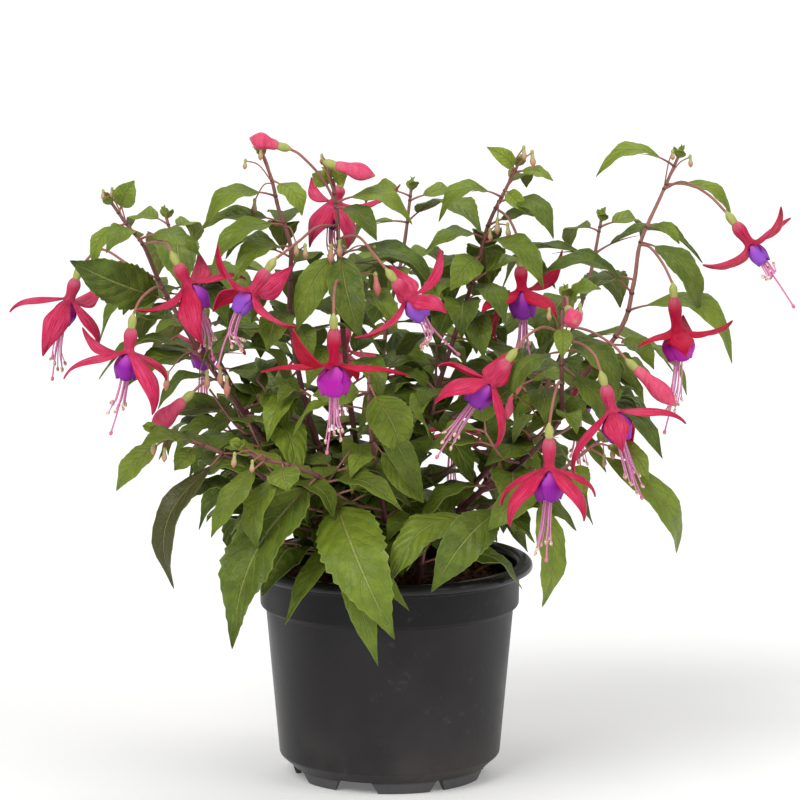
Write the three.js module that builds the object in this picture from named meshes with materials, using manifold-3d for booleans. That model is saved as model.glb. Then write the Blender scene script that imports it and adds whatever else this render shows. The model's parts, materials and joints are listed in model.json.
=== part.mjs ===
// A fuchsia in bloom in a plain plastic nursery pot. Millimetres, +Z up.
// The origin is on the pot's axis, level with the undersides of its feet; the front faces -Y.
import * as THREE from 'three';
import { mergeVertices } from 'three/addons/utils/BufferGeometryUtils.js';
import Module from 'manifold-3d';

const wasm = await Module();
wasm.setup();

// Driving dimensions of the pot and its soil.
const RIM_RADIUS = 65;
const POT_HEIGHT = 99.6;
const BAND_RADIUS = 58.9;
const BODY_TOP_RADIUS = 56.2;
const BODY_BOTTOM_RADIUS = 50.1;
const BODY_FOOT = 10.5;
const BODY_TOP = 78;
const BAND_FOOT = 79.5;
const BAND_TOP = 94.4;
const LIP = 0.8;
const LIP_BEVEL = 0.4;
const FOOT_RADIUS = 42.7;
const FOOT_HEIGHT = 5.5;
const FOOT_RING = 2.5;
const FOOT_FLARE = 1.8;
const WALL = 1.6;
const INNER_RISE = 0.9;
const FACETS = 32;
const SOIL_LEVEL = 89;
const GAP = 0.3;

// Driving dimensions of the plant.
const BLADE = 0.6;
const STEM_ROOT_RADIUS = 2;
const STEM_TIP_RADIUS = 0.9;
const STEM_FOOT = 76;
const STEM_SIDES = 5;
const PEDICEL_RADIUS = 0.7;
const SHOOT_HALF = 0.6;
const OVARY_LENGTH = 5.5;
const OVARY_RADIUS = 1.8;
const TUBE_RADIUS = 3.1;
const TUBE_TOP_RADIUS = 1.9;
const TUBE_NECK_RADIUS = 2.8;
const SQUARED = 1.1;
const HUB_HALF = 1.2;
const SEPAL_WIDTH = 12;
const COROLLA_LENGTH = 12.5;
const COROLLA_RADIUS = 7.4;
const PETAL_WALL = 0.9;

const COLOURS = {
  pot: { color: 0x2b2a2c, roughness: 0.42 },
  soil: { color: 0x2e211a, roughness: 1 },
  leafy: { color: 0x5f7d3a, roughness: 0.6 },
  sepals: { color: 0xd92c50, roughness: 0.5 },
  corolla: { color: 0x7c2fae, roughness: 0.55 },
  bud: { color: 0xdd4a68, roughness: 0.5 },
};

// The ways that the upper face of a leaf looks.
const UP = [0, -0.45, 1];
const FRONT = [0, -1, 0.35];
const FRONT_LEFT = [-0.7, -1, 0.4];
const FRONT_RIGHT = [0.7, -1, 0.4];

// Each leafy stem: its route from the soil, its hand-placed leaves, and the rule for its pairs of leaves.
// A leaf is [height of its root on the stem, its tip, its width, the way it looks, its arch].
// Pairs stand at `count` heights between `low` and `high`, reach `reach` mm and start at `turn` degrees.
const STEMS = [
  {
    name: 'stem_left_low',
    route: [[-26, -16, 90], [-33, -34, 118], [-46, -48, 137], [-60, -53, 150], [-80, -56, 161],
      [-94, -60, 166], [-100, -62, 169]],
    leaves: [
      [167, [-121, -60, 142], 12, FRONT_LEFT, 0.12],
      [162, [-109, -78, 166], 13, UP, 0.1],
      [163, [-95, -64, 152], 9, FRONT, 0.1],
      [158, [-97, -66, 98], 14, FRONT_LEFT, 0.18],
    ],
    pairs: { low: 128, high: 158, count: 2, reach: 36, turn: 60 },
  },
  {
    name: 'stem_left_upper',
    route: [[-20, 6, 90], [-27, 0, 112], [-40, -8, 136], [-63, -15, 166], [-85, -22, 199], [-101, -28, 228],
      [-109, -30, 247], [-116, -30, 256], [-123, -30, 266]],
    leaves: [
      [262, [-113, -34, 277], 12, FRONT, 0.05],
      [257, [-131, -42, 239], 9, FRONT_LEFT, 0.25],
      [248, [-138, -46, 241], 14, UP, 0.2],
      [250, [-84, -36, 240], 13, UP, 0.24],
      [222, [-141, -48, 243], 21, FRONT_LEFT, 0.08],
    ],
    pairs: { low: 140, high: 224, count: 4, reach: 42, turn: 20 },
  },
  {
    name: 'stem_left_centre',
    route: [[-10, -4, 90], [-17, -10, 112], [-27, -15, 139], [-38, -22, 176], [-44, -28, 213],
      [-44, -30, 233], [-44, -32, 248], [-49, -34, 264], [-52, -34, 277], [-56, -32, 288]],
    leaves: [
      [270, [-82, -44, 257], 13, UP, 0.26],
      [277, [-38, -46, 263], 12, FRONT_RIGHT, 0.16],
      [258, [-87, -30, 252], 12, UP, 0.16],
      [257, [-79, -54, 241], 14, UP, 0.2],
      [247, [-69, -56, 235], 14, UP, 0.16],
    ],
    pairs: { low: 128, high: 232, count: 5, reach: 40, turn: 75 },
  },
  {
    name: 'stem_centre',
    route: [[0, 4, 90], [-6, -1, 112], [-12, -8, 137], [-19, -18, 185], [-22, -25, 233], [-23, -28, 258],
      [-24, -28, 267], [-25, -28, 277]],
    leaves: [
      [258, [-59, -44, 241], 13, UP, 0.22],
      [266, [11, -36, 258], 12, UP, 0.24],
      [264, [-5, -46, 252], 12, UP, 0.2],
      [246, [-9, -54, 209], 16, FRONT, 0.14],
      [246, [-41, -50, 212], 14, FRONT, 0.14],
      [274, [-34, -31, 279], 8, FRONT, 0.1],
      [275, [-18, -34, 281], 8, FRONT, 0.1],
      [243, [22, -32, 226], 13, UP, 0.24],
    ],
    pairs: { low: 124, high: 238, count: 5, reach: 40, turn: 10 },
  },
  {
    name: 'stem_right_centre',
    route: [[14, 8, 90], [11, 4, 112], [11, 0, 140], [23, -5, 183], [38, -12, 231], [44, -15, 254],
      [52, -16, 271], [57, -16, 281]],
    leaves: [
      [279, [43, -26, 291], 8, FRONT, 0.2],
      [270, [62, -32, 262], 8, FRONT, 0.16],
      [278, [73, -20, 275], 8, UP, 0.16],
      [267, [21, -28, 258], 12, UP, 0.28],
      [265, [76, -28, 248], 12, UP, 0.24],
      [254, [72, -10, 255], 9, UP, 0.16],
      [248, [16, -30, 245], 10, UP, 0.2],
      [246, [73, -34, 226], 14, UP, 0.24],
      [240, [27, -36, 228], 14, FRONT, 0.16],
      [228, [60, -42, 221], 12, UP, 0.12],
    ],
    pairs: { low: 126, high: 228, count: 5, reach: 42, turn: 40 },
  },
  {
    name: 'stem_right_tall',
    route: [[28, 6, 90], [30, 4, 108], [36, 0, 131], [72, -8, 169], [102, -15, 205], [109, -18, 228],
      [112, -18, 247], [121, -18, 268], [129, -16, 286]],
    leaves: [
      [281, [91, -26, 278], 11, UP, 0.24],
      [273, [153, -22, 258], 9, UP, 0.2],
      [254, [129, -30, 248], 8, UP, 0.16],
      [247, [139, -34, 217], 14, FRONT_RIGHT, 0.26],
      [224, [67, -28, 235], 14, UP, 0.2],
      [216, [148, -38, 189], 15, UP, 0.3],
      [204, [118, -36, 193], 12, UP, 0.1],
      [196, [110, -46, 184], 12, UP, 0.12],
    ],
    pairs: { low: 134, high: 200, count: 4, reach: 40, turn: 65 },
  },
  {
    name: 'stem_right_vertical',
    route: [[24, -12, 90], [26, -18, 108], [34, -30, 130], [62, -48, 156], [75, -55, 173], [76, -58, 187],
      [76, -58, 200], [76, -58, 211], [76, -57, 220], [77, -56, 228]],
    leaves: [
      [223, [93, -62, 233], 13, UP, 0.12],
      [216, [72, -72, 202], 9, FRONT, 0.12],
      [210, [101, -74, 188], 15, FRONT_RIGHT, 0.16],
      [198, [98, -62, 170], 12, FRONT_RIGHT, 0.12],
      [176, [88, -62, 184], 9, FRONT, 0.1],
    ],
    pairs: { low: 140, high: 204, count: 3, reach: 34, turn: 30 },
  },
  {
    name: 'stem_front_centre',
    route: [[2, -14, 90], [1, -26, 106], [-2, -40, 125], [-5, -52, 148], [-8, -58, 166], [-9, -59, 180],
      [-9, -58, 194]],
    leaves: [
      [190, [6, -70, 159], 20, FRONT, 0.1],
      [182, [17, -74, 143], 12, FRONT, 0.12],
      [164, [11, -72, 137], 14, FRONT, 0.1],
      [186, [-34, -66, 186], 13, FRONT_LEFT, 0.14],
    ],
    pairs: { low: 126, high: 178, count: 3, reach: 32, turn: 0 },
  },
  {
    name: 'stem_front_left',
    route: [[-14, -26, 90], [-16, -33, 104], [-18, -41, 116], [-22, -50, 129], [-28, -62, 146],
      [-38, -73, 154], [-47, -79, 158], [-57, -83, 161], [-64, -85, 166]],
    leaves: [
      [160, [-78, -100, 129], 13, FRONT_LEFT, 0.12],
      [157, [-58, -88, 119], 14, FRONT_LEFT, 0.16],
      [150, [-70, -106, 84], 30, FRONT_LEFT, 0.12],
      [146, [6, -88, 139], 14, UP, 0.16],
      [138, [2, -110, 86], 29, FRONT, 0.12],
      [110, [-46, -84, 87], 12, UP, 0.2],
      [117, [-5, -88, 69], 14, FRONT, 0.14],
      [127, [9, -84, 93], 10, FRONT, 0.12],
      [158, [-44, -92, 148], 15, FRONT, 0.1],
    ],
    pairs: { low: 128, high: 150, count: 1, reach: 30, turn: 100 },
  },
  {
    name: 'stem_front_right',
    route: [[12, -28, 90], [14, -36, 106], [20, -46, 118], [41, -65, 133], [58, -73, 142], [75, -76, 154],
      [93, -74, 168]],
    leaves: [
      [132, [-1, -92, 107], 19, UP, 0.16],
      [138, [18, -102, 105], 19, FRONT, 0.16],
      [150, [38, -80, 130], 14, FRONT, 0.1],
      [146, [68, -84, 94], 15, FRONT_RIGHT, 0.14],
      [164, [129, -64, 114], 14, FRONT_RIGHT, 0.2],
      [158, [86, -92, 146], 10, FRONT, 0.1],
      [166, [116, -86, 152], 12, UP, 0.16],
    ],
    pairs: { low: 124, high: 148, count: 1, reach: 32, turn: 60 },
  },
  {
    name: 'stem_back_left',
    route: [[-24, 22, 90], [-32, 30, 110], [-58, 50, 145], [-82, 68, 185], [-96, 80, 218], [-104, 88, 244]],
    leaves: [
      [240, [-122, 106, 236], 13, UP, 0.2],
      [238, [-92, 112, 226], 12, UP, 0.2],
    ],
    pairs: { low: 128, high: 228, count: 6, reach: 46, turn: 15 },
  },
  {
    name: 'stem_back_centre',
    route: [[0, 26, 90], [-1, 36, 110], [-4, 60, 150], [-2, 80, 190], [6, 92, 226], [10, 98, 256]],
    leaves: [
      [252, [-12, 112, 246], 12, UP, 0.2],
      [250, [34, 112, 244], 12, UP, 0.2],
    ],
    pairs: { low: 126, high: 240, count: 6, reach: 46, turn: 55 },
  },
  {
    name: 'stem_back_right',
    route: [[26, 24, 90], [33, 32, 110], [56, 50, 145], [80, 64, 184], [92, 74, 216], [98, 80, 244]],
    leaves: [
      [240, [118, 98, 232], 12, UP, 0.2],
      [238, [84, 104, 226], 12, UP, 0.2],
    ],
    pairs: { low: 128, high: 228, count: 6, reach: 46, turn: 80 },
  },
];

// Each bloom hangs on a pedicel from a height on its stem, over `via` to the top of its ovary.
// The sepal tips and the ends of the stamens and the style are measured from the hub,
// where the sepals spread from the tube. Its girth is its corolla's share of the fullest size.
const BLOOMS = [
  {
    stem: 'stem_left_upper', from: 232, via: [[-116, -14, 236], [-130, 8, 240]],
    ovary: [-140, 15, 231], hub: [-145, 15, 216],
    sepals: [[-29, 2, -6], [-12, -17, -25], [14, -8, -22], [14, 20, 4]],
    stamens: [-6, 0, -31], style: [-8, 0, -36], girth: 0.7,
  },
  {
    stem: 'stem_left_upper', from: 228, via: [[-104, -48, 231], [-109, -68, 229]],
    ovary: [-112, -75, 223], hub: [-114, -75, 207],
    sepals: [[-22, 18, 8], [-30, -8, -11], [11, -12, -28], [17, 15, -16]],
    stamens: [-6, 0, -27], style: [-8, 0, -36], girth: 0.76,
  },
  {
    stem: 'stem_left_upper', from: 248, via: [[-102, -36, 250], [-98, -46, 250]],
    ovary: [-96, -50, 247], hub: [-89, -50, 233],
    sepals: [[-23, -13, -10], [8, -17, -26], [4, 26, 11], [27, 6, 2]],
    stamens: [9, 0, -28], style: [11, 0, -33], girth: 0.86,
  },
  {
    stem: 'stem_centre', from: 256, via: [[-32, -40, 257], [-40, -58, 253]],
    ovary: [-50, -70, 247], hub: [-60, -70, 233],
    sepals: [[-15, -14, 23], [20, -16, -14], [-19, 14, -12], [18, 18, 9]],
    stamens: [-7, 0, -25], style: [-15, 0, -33], girth: 0.62,
  },
  {
    stem: 'stem_centre', from: 274, via: [[-23, -12, 280], [-21, 2, 279]],
    ovary: [-21, 8, 274], hub: [-24, 8, 262],
    sepals: [[30, -3, 8], [-13, -16, -20], [6, -20, -20], [-12, 23, 8]],
    stamens: [0, 0, -24], style: [0, 0, -30], girth: 0.8,
  },
  {
    stem: 'stem_centre', from: 226, via: [[-23, -60, 236], [-24, -90, 234]],
    ovary: [-24, -100, 227], hub: [-24, -100, 206],
    sepals: [[-18, -22, 19], [-32, 0, -5], [33, -5, -6], [11, 25, -12]],
    stamens: [0, 0, -34], style: [-3, 0, -39], girth: 1.0,
  },
  {
    stem: 'stem_centre', from: 250, via: [[-14, -48, 254], [-7, -66, 249]],
    ovary: [-1, -75, 243], hub: [8, -75, 231],
    sepals: [[15, 14, 20], [-24, -10, -17], [18, -20, -4], [-8, 25, 11]],
    stamens: [9, 0, -20], style: [22, 0, -25], girth: 0.68,
  },
  {
    stem: 'stem_right_vertical', from: 212, via: [[68, -70, 217], [60, -88, 216]],
    ovary: [55, -95, 211], hub: [44, -95, 197],
    sepals: [[-24, 16, 5], [-26, -14, -8], [2, -12, -29], [12, 22, 12]],
    stamens: [-19, 0, -28], style: [-23, 0, -33], girth: 0.82,
  },
  {
    stem: 'stem_right_centre', from: 262, via: [[53, -19, 258], [57, -24, 250]],
    ovary: [58, -25, 243], hub: [59, -25, 227],
    sepals: [[-19, -18, -8], [19, 14, 16], [16, -20, -10], [-12, 6, -26]],
    stamens: [0, 0, -27], style: [5, 0, -36], girth: 0.85,
  },
  {
    stem: 'stem_right_vertical', from: 190, via: [[74, -80, 194], [71, -108, 191]],
    ovary: [69, -118, 182], hub: [69, -118, 163],
    sepals: [[-22, 8, -19], [-18, -12, -25], [22, 10, -15], [16, -14, -22]],
    stamens: [-3, 0, -36], style: [-1, 0, -40], girth: 0.96,
  },
  {
    stem: 'stem_right_vertical', from: 206, via: [[82, -74, 211], [89, -88, 208]],
    ovary: [92, -95, 201], hub: [97, -95, 184],
    sepals: [[-18, -8, -28], [34, -2, -5], [4, -26, -14], [10, 16, -24]],
    stamens: [10, 0, -34], style: [13, 0, -38], girth: 0.9,
  },
  {
    stem: 'stem_right_tall', from: 246, via: [[116, -28, 246], [121, -44, 241]],
    ovary: [125, -50, 233], hub: [127, -50, 213],
    sepals: [[25, -8, 5], [-18, -18, -6], [3, -28, -8], [4, 27, 2]],
    stamens: [-2, 0, -36], style: [-5, 0, -46], girth: 0.96,
  },
  {
    stem: 'stem_right_tall', from: 271, via: [[130, -32, 276], [140, -50, 273]],
    ovary: [148, -60, 266], hub: [158, -64, 253],
    sepals: [[13, -15, 19], [19, 8, 10], [-22, -12, -8], [-17, 14, -13]],
    stamens: [13, -4, -19], style: [19, -3, -27], girth: 0.52,
  },
  {
    stem: 'stem_back_left', from: 205, via: [[-88, 88, 212], [-86, 97, 208]],
    ovary: [-86, 100, 200], hub: [-87, 102, 183],
    sepals: [[-20, 20, 5], [-22, -18, -9], [20, 21, -10], [18, -20, 4]],
    stamens: [-1, 2, -34], style: [-2, 3, -40], girth: 0.85,
  },
  {
    stem: 'stem_back_centre', from: 200, via: [[-6, 96, 206], [-14, 104, 203]],
    ovary: [-20, 107, 195], hub: [-22, 108, 178],
    sepals: [[-28, 6, -10], [-4, 27, 8], [28, 2, -8], [4, -25, -10]],
    stamens: [-1, 2, -34], style: [0, 3, -40], girth: 0.8,
  },
  {
    stem: 'stem_back_right', from: 182, via: [[86, 80, 188], [88, 92, 184]],
    ovary: [88, 98, 176], hub: [88, 100, 159],
    sepals: [[22, 18, -8], [-18, 22, 4], [-21, -17, -12], [18, -20, 6]],
    stamens: [1, 2, -34], style: [2, 3, -40], girth: 0.85,
  },
  {
    stem: 'stem_back_right', from: 160, via: [[54, 78, 169], [41, 94, 166]],
    ovary: [34, 100, 158], hub: [31, 103, 141],
    sepals: [[-20, 21, -9], [20, 21, -6], [21, -20, -9], [-20, -19, 2]],
    stamens: [-1, 2, -34], style: [-2, 3, -40], girth: 0.8,
  },
];

// Closed buds hang in the same way; a bud's tip is a place and not an offset.
const BUDS = [
  {
    stem: 'stem_centre', from: 266, via: [[-30, -32, 278], [-39, -34, 288]],
    ovary: [-44, -34, 291], tip: [-62, -35, 296], radius: 4,
  },
  {
    stem: 'stem_left_upper', from: 182, via: [[-76, -34, 188], [-83, -42, 187]],
    ovary: [-87, -46, 184], tip: [-106, -50, 167], radius: 4.6,
  },
  {
    stem: 'stem_right_vertical', from: 216, via: [[88, -62, 214], [98, -70, 209]],
    ovary: [104, -74, 203], tip: [126, -78, 183], radius: 4.2,
  },
  {
    stem: 'stem_centre', from: 270, via: [[-28, -33, 282], [-30, -38, 286]],
    ovary: [-29, -40, 286], tip: [-6, -42, 280], radius: 4,
  },
  {
    stem: 'stem_right_vertical', from: 224, via: [[77, -62, 229], [78, -68, 229]],
    ovary: [78, -72, 226], tip: [81, -90, 222], radius: 4,
  },
];

const vec = (p) => new THREE.Vector3(...p);

// A repeatable draw in 0..1 for the k-th value of item i.
const draw = (i, k) => THREE.MathUtils.euclideanModulo(Math.sin(i * 12.9898 + k * 78.233) * 43758.5453, 1);

const solid = (geometry) => {
  const bare = geometry.clone();
  bare.deleteAttribute('normal');
  bare.deleteAttribute('uv');
  const merged = mergeVertices(bare, 1e-4);
  return new wasm.Manifold(new wasm.Mesh({
    numProp: 3,
    vertProperties: new Float32Array(merged.attributes.position.array),
    triVerts: new Uint32Array(merged.index.array),
  }));
};

const geometryOf = (body) => {
  const { vertProperties, triVerts } = body.getMesh();
  const geometry = new THREE.BufferGeometry();
  geometry.setAttribute('position', new THREE.BufferAttribute(new Float32Array(vertProperties), 3));
  geometry.setIndex(new THREE.BufferAttribute(new Uint32Array(triVerts), 1));
  geometry.computeVertexNormals();
  return geometry;
};

const group = new THREE.Group();

const addMesh = (name, geometry, look) => {
  const mesh = new THREE.Mesh(geometry, new THREE.MeshStandardMaterial({ metalness: 0, ...COLOURS[look] }));
  mesh.name = name;
  group.add(mesh);
};

// A mesh under construction: points, and the triangles between them by index.
class Growth {
  constructor() {
    this.points = [];
    this.faces = [];
  }

  add(point) {
    return this.points.push(point) - 1;
  }

  quad(a, b, c, d) {
    this.faces.push(a, b, c, a, c, d);
  }

  // Triangles between two rows of points, which may differ in number.
  zip(near, far, flip) {
    let i = 0;
    let j = 0;
    while (i < near.length - 1 || j < far.length - 1) {
      const nearShare = i < near.length - 1 ? (i + 1) / (near.length - 1) : Infinity;
      const farShare = j < far.length - 1 ? (j + 1) / (far.length - 1) : Infinity;
      const face = [near[i]];
      if (farShare <= nearShare) {
        face.push(far[j + 1], far[j]);
        j += 1;
      } else {
        face.push(near[i + 1], far[j]);
        i += 1;
      }
      this.faces.push(...(flip ? face.reverse() : face));
    }
  }

  geometry() {
    const geometry = new THREE.BufferGeometry().setFromPoints(this.points);
    geometry.setIndex(this.faces);
    geometry.computeVertexNormals();
    return geometry;
  }
}

const evenAngles = (sides) => Array.from({ length: sides }, (_, k) => (2 * Math.PI * k) / sides);

// A ring of points round a centre, square to an axis, at angles counted counterclockwise from `side`.
const addRing = (growth, centre, axis, side, radius, angles) => {
  const other = axis.clone().cross(side);
  return angles.map((angle) => {
    const point = centre.clone().addScaledVector(side, radius * Math.cos(angle));
    return growth.add(point.addScaledVector(other, radius * Math.sin(angle)));
  });
};

const squareTo = (side, axis) => side.clone().addScaledVector(axis, -side.dot(axis)).normalize();

const joinRings = (growth, near, far) => {
  near.forEach((point, k) => {
    const next = (k + 1) % near.length;
    growth.quad(point, near[next], far[next], far[k]);
  });
};

const capRing = (growth, ring, flip) => {
  for (let k = 1; k < ring.length - 1; k += 1) {
    const face = [ring[0], ring[k], ring[k + 1]];
    growth.faces.push(...(flip ? face.reverse() : face));
  }
};

// A leaf or sepal: rows of points along an arched spine, folded on its midrib, alike above and below.
// It starts from `loop`, four points of the body that carries it, or else from a flat end of its own.
const growBlade = (growth, blade, loop) => {
  const { root, tip, face, arch, width, stalk, stalkHalf, fold, stations, thickness, start } = blade;
  const chord = tip.clone().sub(root);
  const side = chord.clone().cross(face).normalize();
  const rise = side.clone().cross(chord).normalize();
  const middle = root.clone().add(tip).multiplyScalar(0.5);
  const control = middle.addScaledVector(rise, 2 * arch * chord.length());
  const spine = new THREE.QuadraticBezierCurve3(root, control, tip);
  const bladeStart = stalk / chord.length();
  const rowAt = (share, offsets) => {
    const centre = spine.getPoint(share);
    const normal = side.clone().cross(spine.getTangent(share)).normalize();
    return [thickness / 2, -thickness / 2].map((half) => offsets.map((offset) => centre.clone()
      .addScaledVector(side, offset * Math.cos(fold))
      .addScaledVector(normal, half + Math.abs(offset) * Math.sin(fold))));
  };
  const addRow = ([top, bottom]) => ({
    top: top.map((point) => growth.add(point)),
    bottom: bottom.map((point) => growth.add(point)),
  });
  const rootRow = rowAt(start, [-stalkHalf, stalkHalf]);
  const rows = [];
  if (loop) {
    const [top, bottom] = rootRow;
    const wanted = [bottom[0], top[0], top[1], bottom[1]];
    const twist = (turn) => wanted.reduce((sum, point, k) => (
      sum + point.distanceToSquared(growth.points[loop[(k + turn) % 4]])), 0);
    const turn = [0, 1, 2, 3].sort((a, b) => twist(a) - twist(b))[0];
    const [a, b, c, d] = [0, 1, 2, 3].map((k) => loop[(k + turn) % 4]);
    rows.push({ top: [b, c], bottom: [a, d] });
  } else {
    rows.push(addRow(rootRow));
    growth.quad(rows[0].bottom[0], rows[0].bottom[1], rows[0].top[1], rows[0].top[0]);
  }
  if (stations.length > 2) {
    rows.push(addRow(rowAt(bladeStart, [-stalkHalf, stalkHalf])));
  }
  for (const station of stations) {
    const half = (width / 2) * Math.sin(Math.PI * station ** 0.8);
    rows.push(addRow(rowAt(bladeStart + (1 - bladeStart) * station, [-half, 0, half])));
  }
  rows.push(addRow(rowAt(1, [0])));
  for (let k = 0; k < rows.length - 1; k += 1) {
    const [near, far] = [rows[k], rows[k + 1]];
    growth.zip(near.top, far.top, false);
    growth.zip(near.bottom, far.bottom, true);
    growth.quad(near.bottom.at(-1), far.bottom.at(-1), far.top.at(-1), near.top.at(-1));
    growth.quad(far.bottom[0], near.bottom[0], near.top[0], far.top[0]);
  }
};

// A tube along a curve. Each panel between its rings may carry one shoot, which grows out of its middle.
const growTube = (growth, curve, { rootRadius, tipRadius, steps, sides }) => {
  const panels = [];
  let side = new THREE.Vector3(0.37, 0.21, 0.9).cross(curve.getTangent(0)).normalize();
  let last;
  for (let k = 0; k <= steps; k += 1) {
    const share = k / steps;
    const tangent = curve.getTangent(share);
    side = squareTo(side, tangent);
    const radius = THREE.MathUtils.lerp(rootRadius, tipRadius, share);
    const ring = addRing(growth, curve.getPoint(share), tangent, side, radius, evenAngles(sides));
    if (last) {
      ring.forEach((point, s) => {
        const next = (s + 1) % sides;
        panels.push({ corners: [last[s], last[next], ring[next], point], span: k - 1, taken: false });
      });
    } else {
      capRing(growth, ring, true);
    }
    last = ring;
  }
  capRing(growth, last, false);
  return panels;
};

// A way into a panel by shares of its width and height, with the height that suits a shoot's root.
const panelView = ({ growth, steps }, panel, share) => {
  const [a, b, c, d] = panel.corners.map((corner) => growth.points[corner]);
  const half = Math.min(0.3, SHOOT_HALF / a.distanceTo(d));
  const middle = THREE.MathUtils.clamp(share * steps - panel.span, half + 0.1, 0.9 - half);
  const at = (across, along) => a.clone().lerp(b, across).lerp(d.clone().lerp(c, across), along);
  return { at, half, middle };
};

// The four points inside a panel that a shoot grows from, near a share of the stem's curve.
const openPanel = (stem, panel, share) => {
  panel.taken = true;
  const { at, half, middle } = panelView(stem, panel, share);
  const loop = [[0.22, -half], [0.78, -half], [0.78, half], [0.22, half]]
    .map(([across, rise]) => stem.growth.add(at(across, middle + rise)));
  joinRings(stem.growth, panel.corners, loop);
  return loop;
};

const closePanels = (growth, panels) => {
  for (const panel of panels.filter(({ taken }) => !taken)) {
    growth.quad(...panel.corners);
  }
};

// The free panel that best looks along a heading, near a share of the stem's curve.
const findPanel = (stem, share, heading) => {
  const { growth, panels, steps } = stem;
  const score = (panel) => {
    const [a, b, , d] = panel.corners.map((corner) => growth.points[corner]);
    const normal = b.clone().sub(a).cross(d.clone().sub(a)).normalize();
    return normal.dot(heading) - 0.2 * Math.abs(panel.span + 0.5 - share * steps);
  };
  return panels.filter(({ taken }) => !taken).sort((p, q) => score(q) - score(p))[0];
};

// A turned body whose profile [radius, distance] runs from `from` along `axis`.
const turned = (profile, sides, from, axis) => {
  const geometry = new THREE.LatheGeometry(profile.map(([r, s]) => new THREE.Vector2(r, s)), sides);
  geometry.applyQuaternion(new THREE.Quaternion().setFromUnitVectors(new THREE.Vector3(0, 1, 0), axis));
  return geometry.translate(...from.toArray());
};

// The pot, turned, with notches between its feet and drain holes in its floor.
const potProfile = [
  [0, FOOT_HEIGHT],
  [FOOT_RADIUS - FOOT_RING, FOOT_HEIGHT],
  [FOOT_RADIUS - FOOT_RING, 0],
  [FOOT_RADIUS, 0],
  [FOOT_RADIUS + FOOT_FLARE, FOOT_HEIGHT],
  [BODY_BOTTOM_RADIUS, BODY_FOOT],
  [BODY_TOP_RADIUS, BODY_TOP],
  [BAND_RADIUS, BAND_FOOT],
  [BAND_RADIUS, BAND_TOP],
  [RIM_RADIUS, BAND_TOP + LIP],
  [RIM_RADIUS - LIP_BEVEL, POT_HEIGHT],
  [BAND_RADIUS - WALL, POT_HEIGHT],
  [BAND_RADIUS - WALL, BAND_FOOT + INNER_RISE],
  [BODY_TOP_RADIUS - WALL, BODY_TOP + INNER_RISE],
  [BODY_BOTTOM_RADIUS - WALL, BODY_FOOT + INNER_RISE],
  [FOOT_RADIUS + 0.5, FOOT_HEIGHT + WALL],
  [0, FOOT_HEIGHT + WALL],
];
const FEET = 7;
const FIRST_NOTCH = 249;
const WIDE_NOTCH = 22;
const NARROW_NOTCH = 9;
const NOTCH_SLOPE = 3;
const NOTCH_DEPTH = 14;
const NOTCH_INNER_RADIUS = 35;
const DRAIN_RADIUS = 3.5;
const DRAIN_PLACE = 33;

const turnedUpright = (profile) => turned(profile, FACETS, new THREE.Vector3(), new THREE.Vector3(0, 0, 1));

const makePot = () => {
  let pot = solid(turnedUpright(potProfile));
  for (let k = 0; k < FEET; k += 1) {
    const turn = THREE.MathUtils.degToRad(FIRST_NOTCH + (k * 360) / FEET);
    const width = k % 2 === 0 ? WIDE_NOTCH : NARROW_NOTCH;
    const shape = new THREE.Shape([
      new THREE.Vector2(-width / 2, -1), new THREE.Vector2(width / 2, -1),
      new THREE.Vector2(width / 2 - NOTCH_SLOPE, FOOT_HEIGHT),
      new THREE.Vector2(NOTCH_SLOPE - width / 2, FOOT_HEIGHT),
    ]);
    const notch = new THREE.ExtrudeGeometry(shape, { depth: NOTCH_DEPTH, bevelEnabled: false });
    notch.rotateX(Math.PI / 2).rotateZ(Math.PI / 2).translate(NOTCH_INNER_RADIUS, 0, 0).rotateZ(turn);
    pot = pot.subtract(solid(notch));
    const drain = new THREE.CylinderGeometry(DRAIN_RADIUS, DRAIN_RADIUS, 6, 6).rotateX(Math.PI / 2);
    drain.translate(DRAIN_PLACE, 0, FOOT_HEIGHT).rotateZ(turn);
    pot = pot.subtract(solid(drain));
  }
  return pot;
};

// The soil fills the pot up to an uneven top.
const makeSoil = () => {
  const geometry = turnedUpright([
    [0, FOOT_HEIGHT + WALL + GAP],
    [FOOT_RADIUS + 0.1, FOOT_HEIGHT + WALL + GAP],
    [BODY_BOTTOM_RADIUS - WALL - GAP, BODY_FOOT + INNER_RISE + 0.2],
    [BODY_TOP_RADIUS - WALL - GAP, BODY_TOP + INNER_RISE + 0.1],
    [BAND_RADIUS - WALL - GAP, BAND_FOOT + INNER_RISE + 0.2],
    [BAND_RADIUS - WALL - GAP, SOIL_LEVEL - 2],
    [42, SOIL_LEVEL + 0.5],
    [0, SOIL_LEVEL],
  ]);
  const position = geometry.attributes.position;
  for (let k = 0; k < position.count; k += 1) {
    const [x, y, z] = [position.getX(k), position.getY(k), position.getZ(k)];
    if (z > SOIL_LEVEL - 3) {
      position.setZ(k, z + 0.8 * Math.sin(x * 0.19 + 1) * Math.cos(y * 0.23));
    }
  }
  return solid(geometry);
};

const routeOf = (stem, footHeight) => {
  const foot = vec(stem.route[0]);
  foot.z = footHeight;
  return new THREE.CatmullRomCurve3([foot, ...stem.route.map(vec)], false, 'catmullrom', 0.5);
};

// The share of the curve where it has climbed to a height.
const shareAt = (curve, height) => {
  let [low, high] = [0, 1];
  for (let k = 0; k < 30; k += 1) {
    const middle = (low + high) / 2;
    if (curve.getPoint(middle).z < height) {
      low = middle;
    } else {
      high = middle;
    }
  }
  return (low + high) / 2;
};

// What each new leaf keeps clear of: the bodies placed so far, with their boxes.
const placed = [];

const keep = (body) => {
  const { min, max } = body.boundingBox();
  placed.push({ body, box: new THREE.Box3(vec(min), vec(max)) });
};

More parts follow.
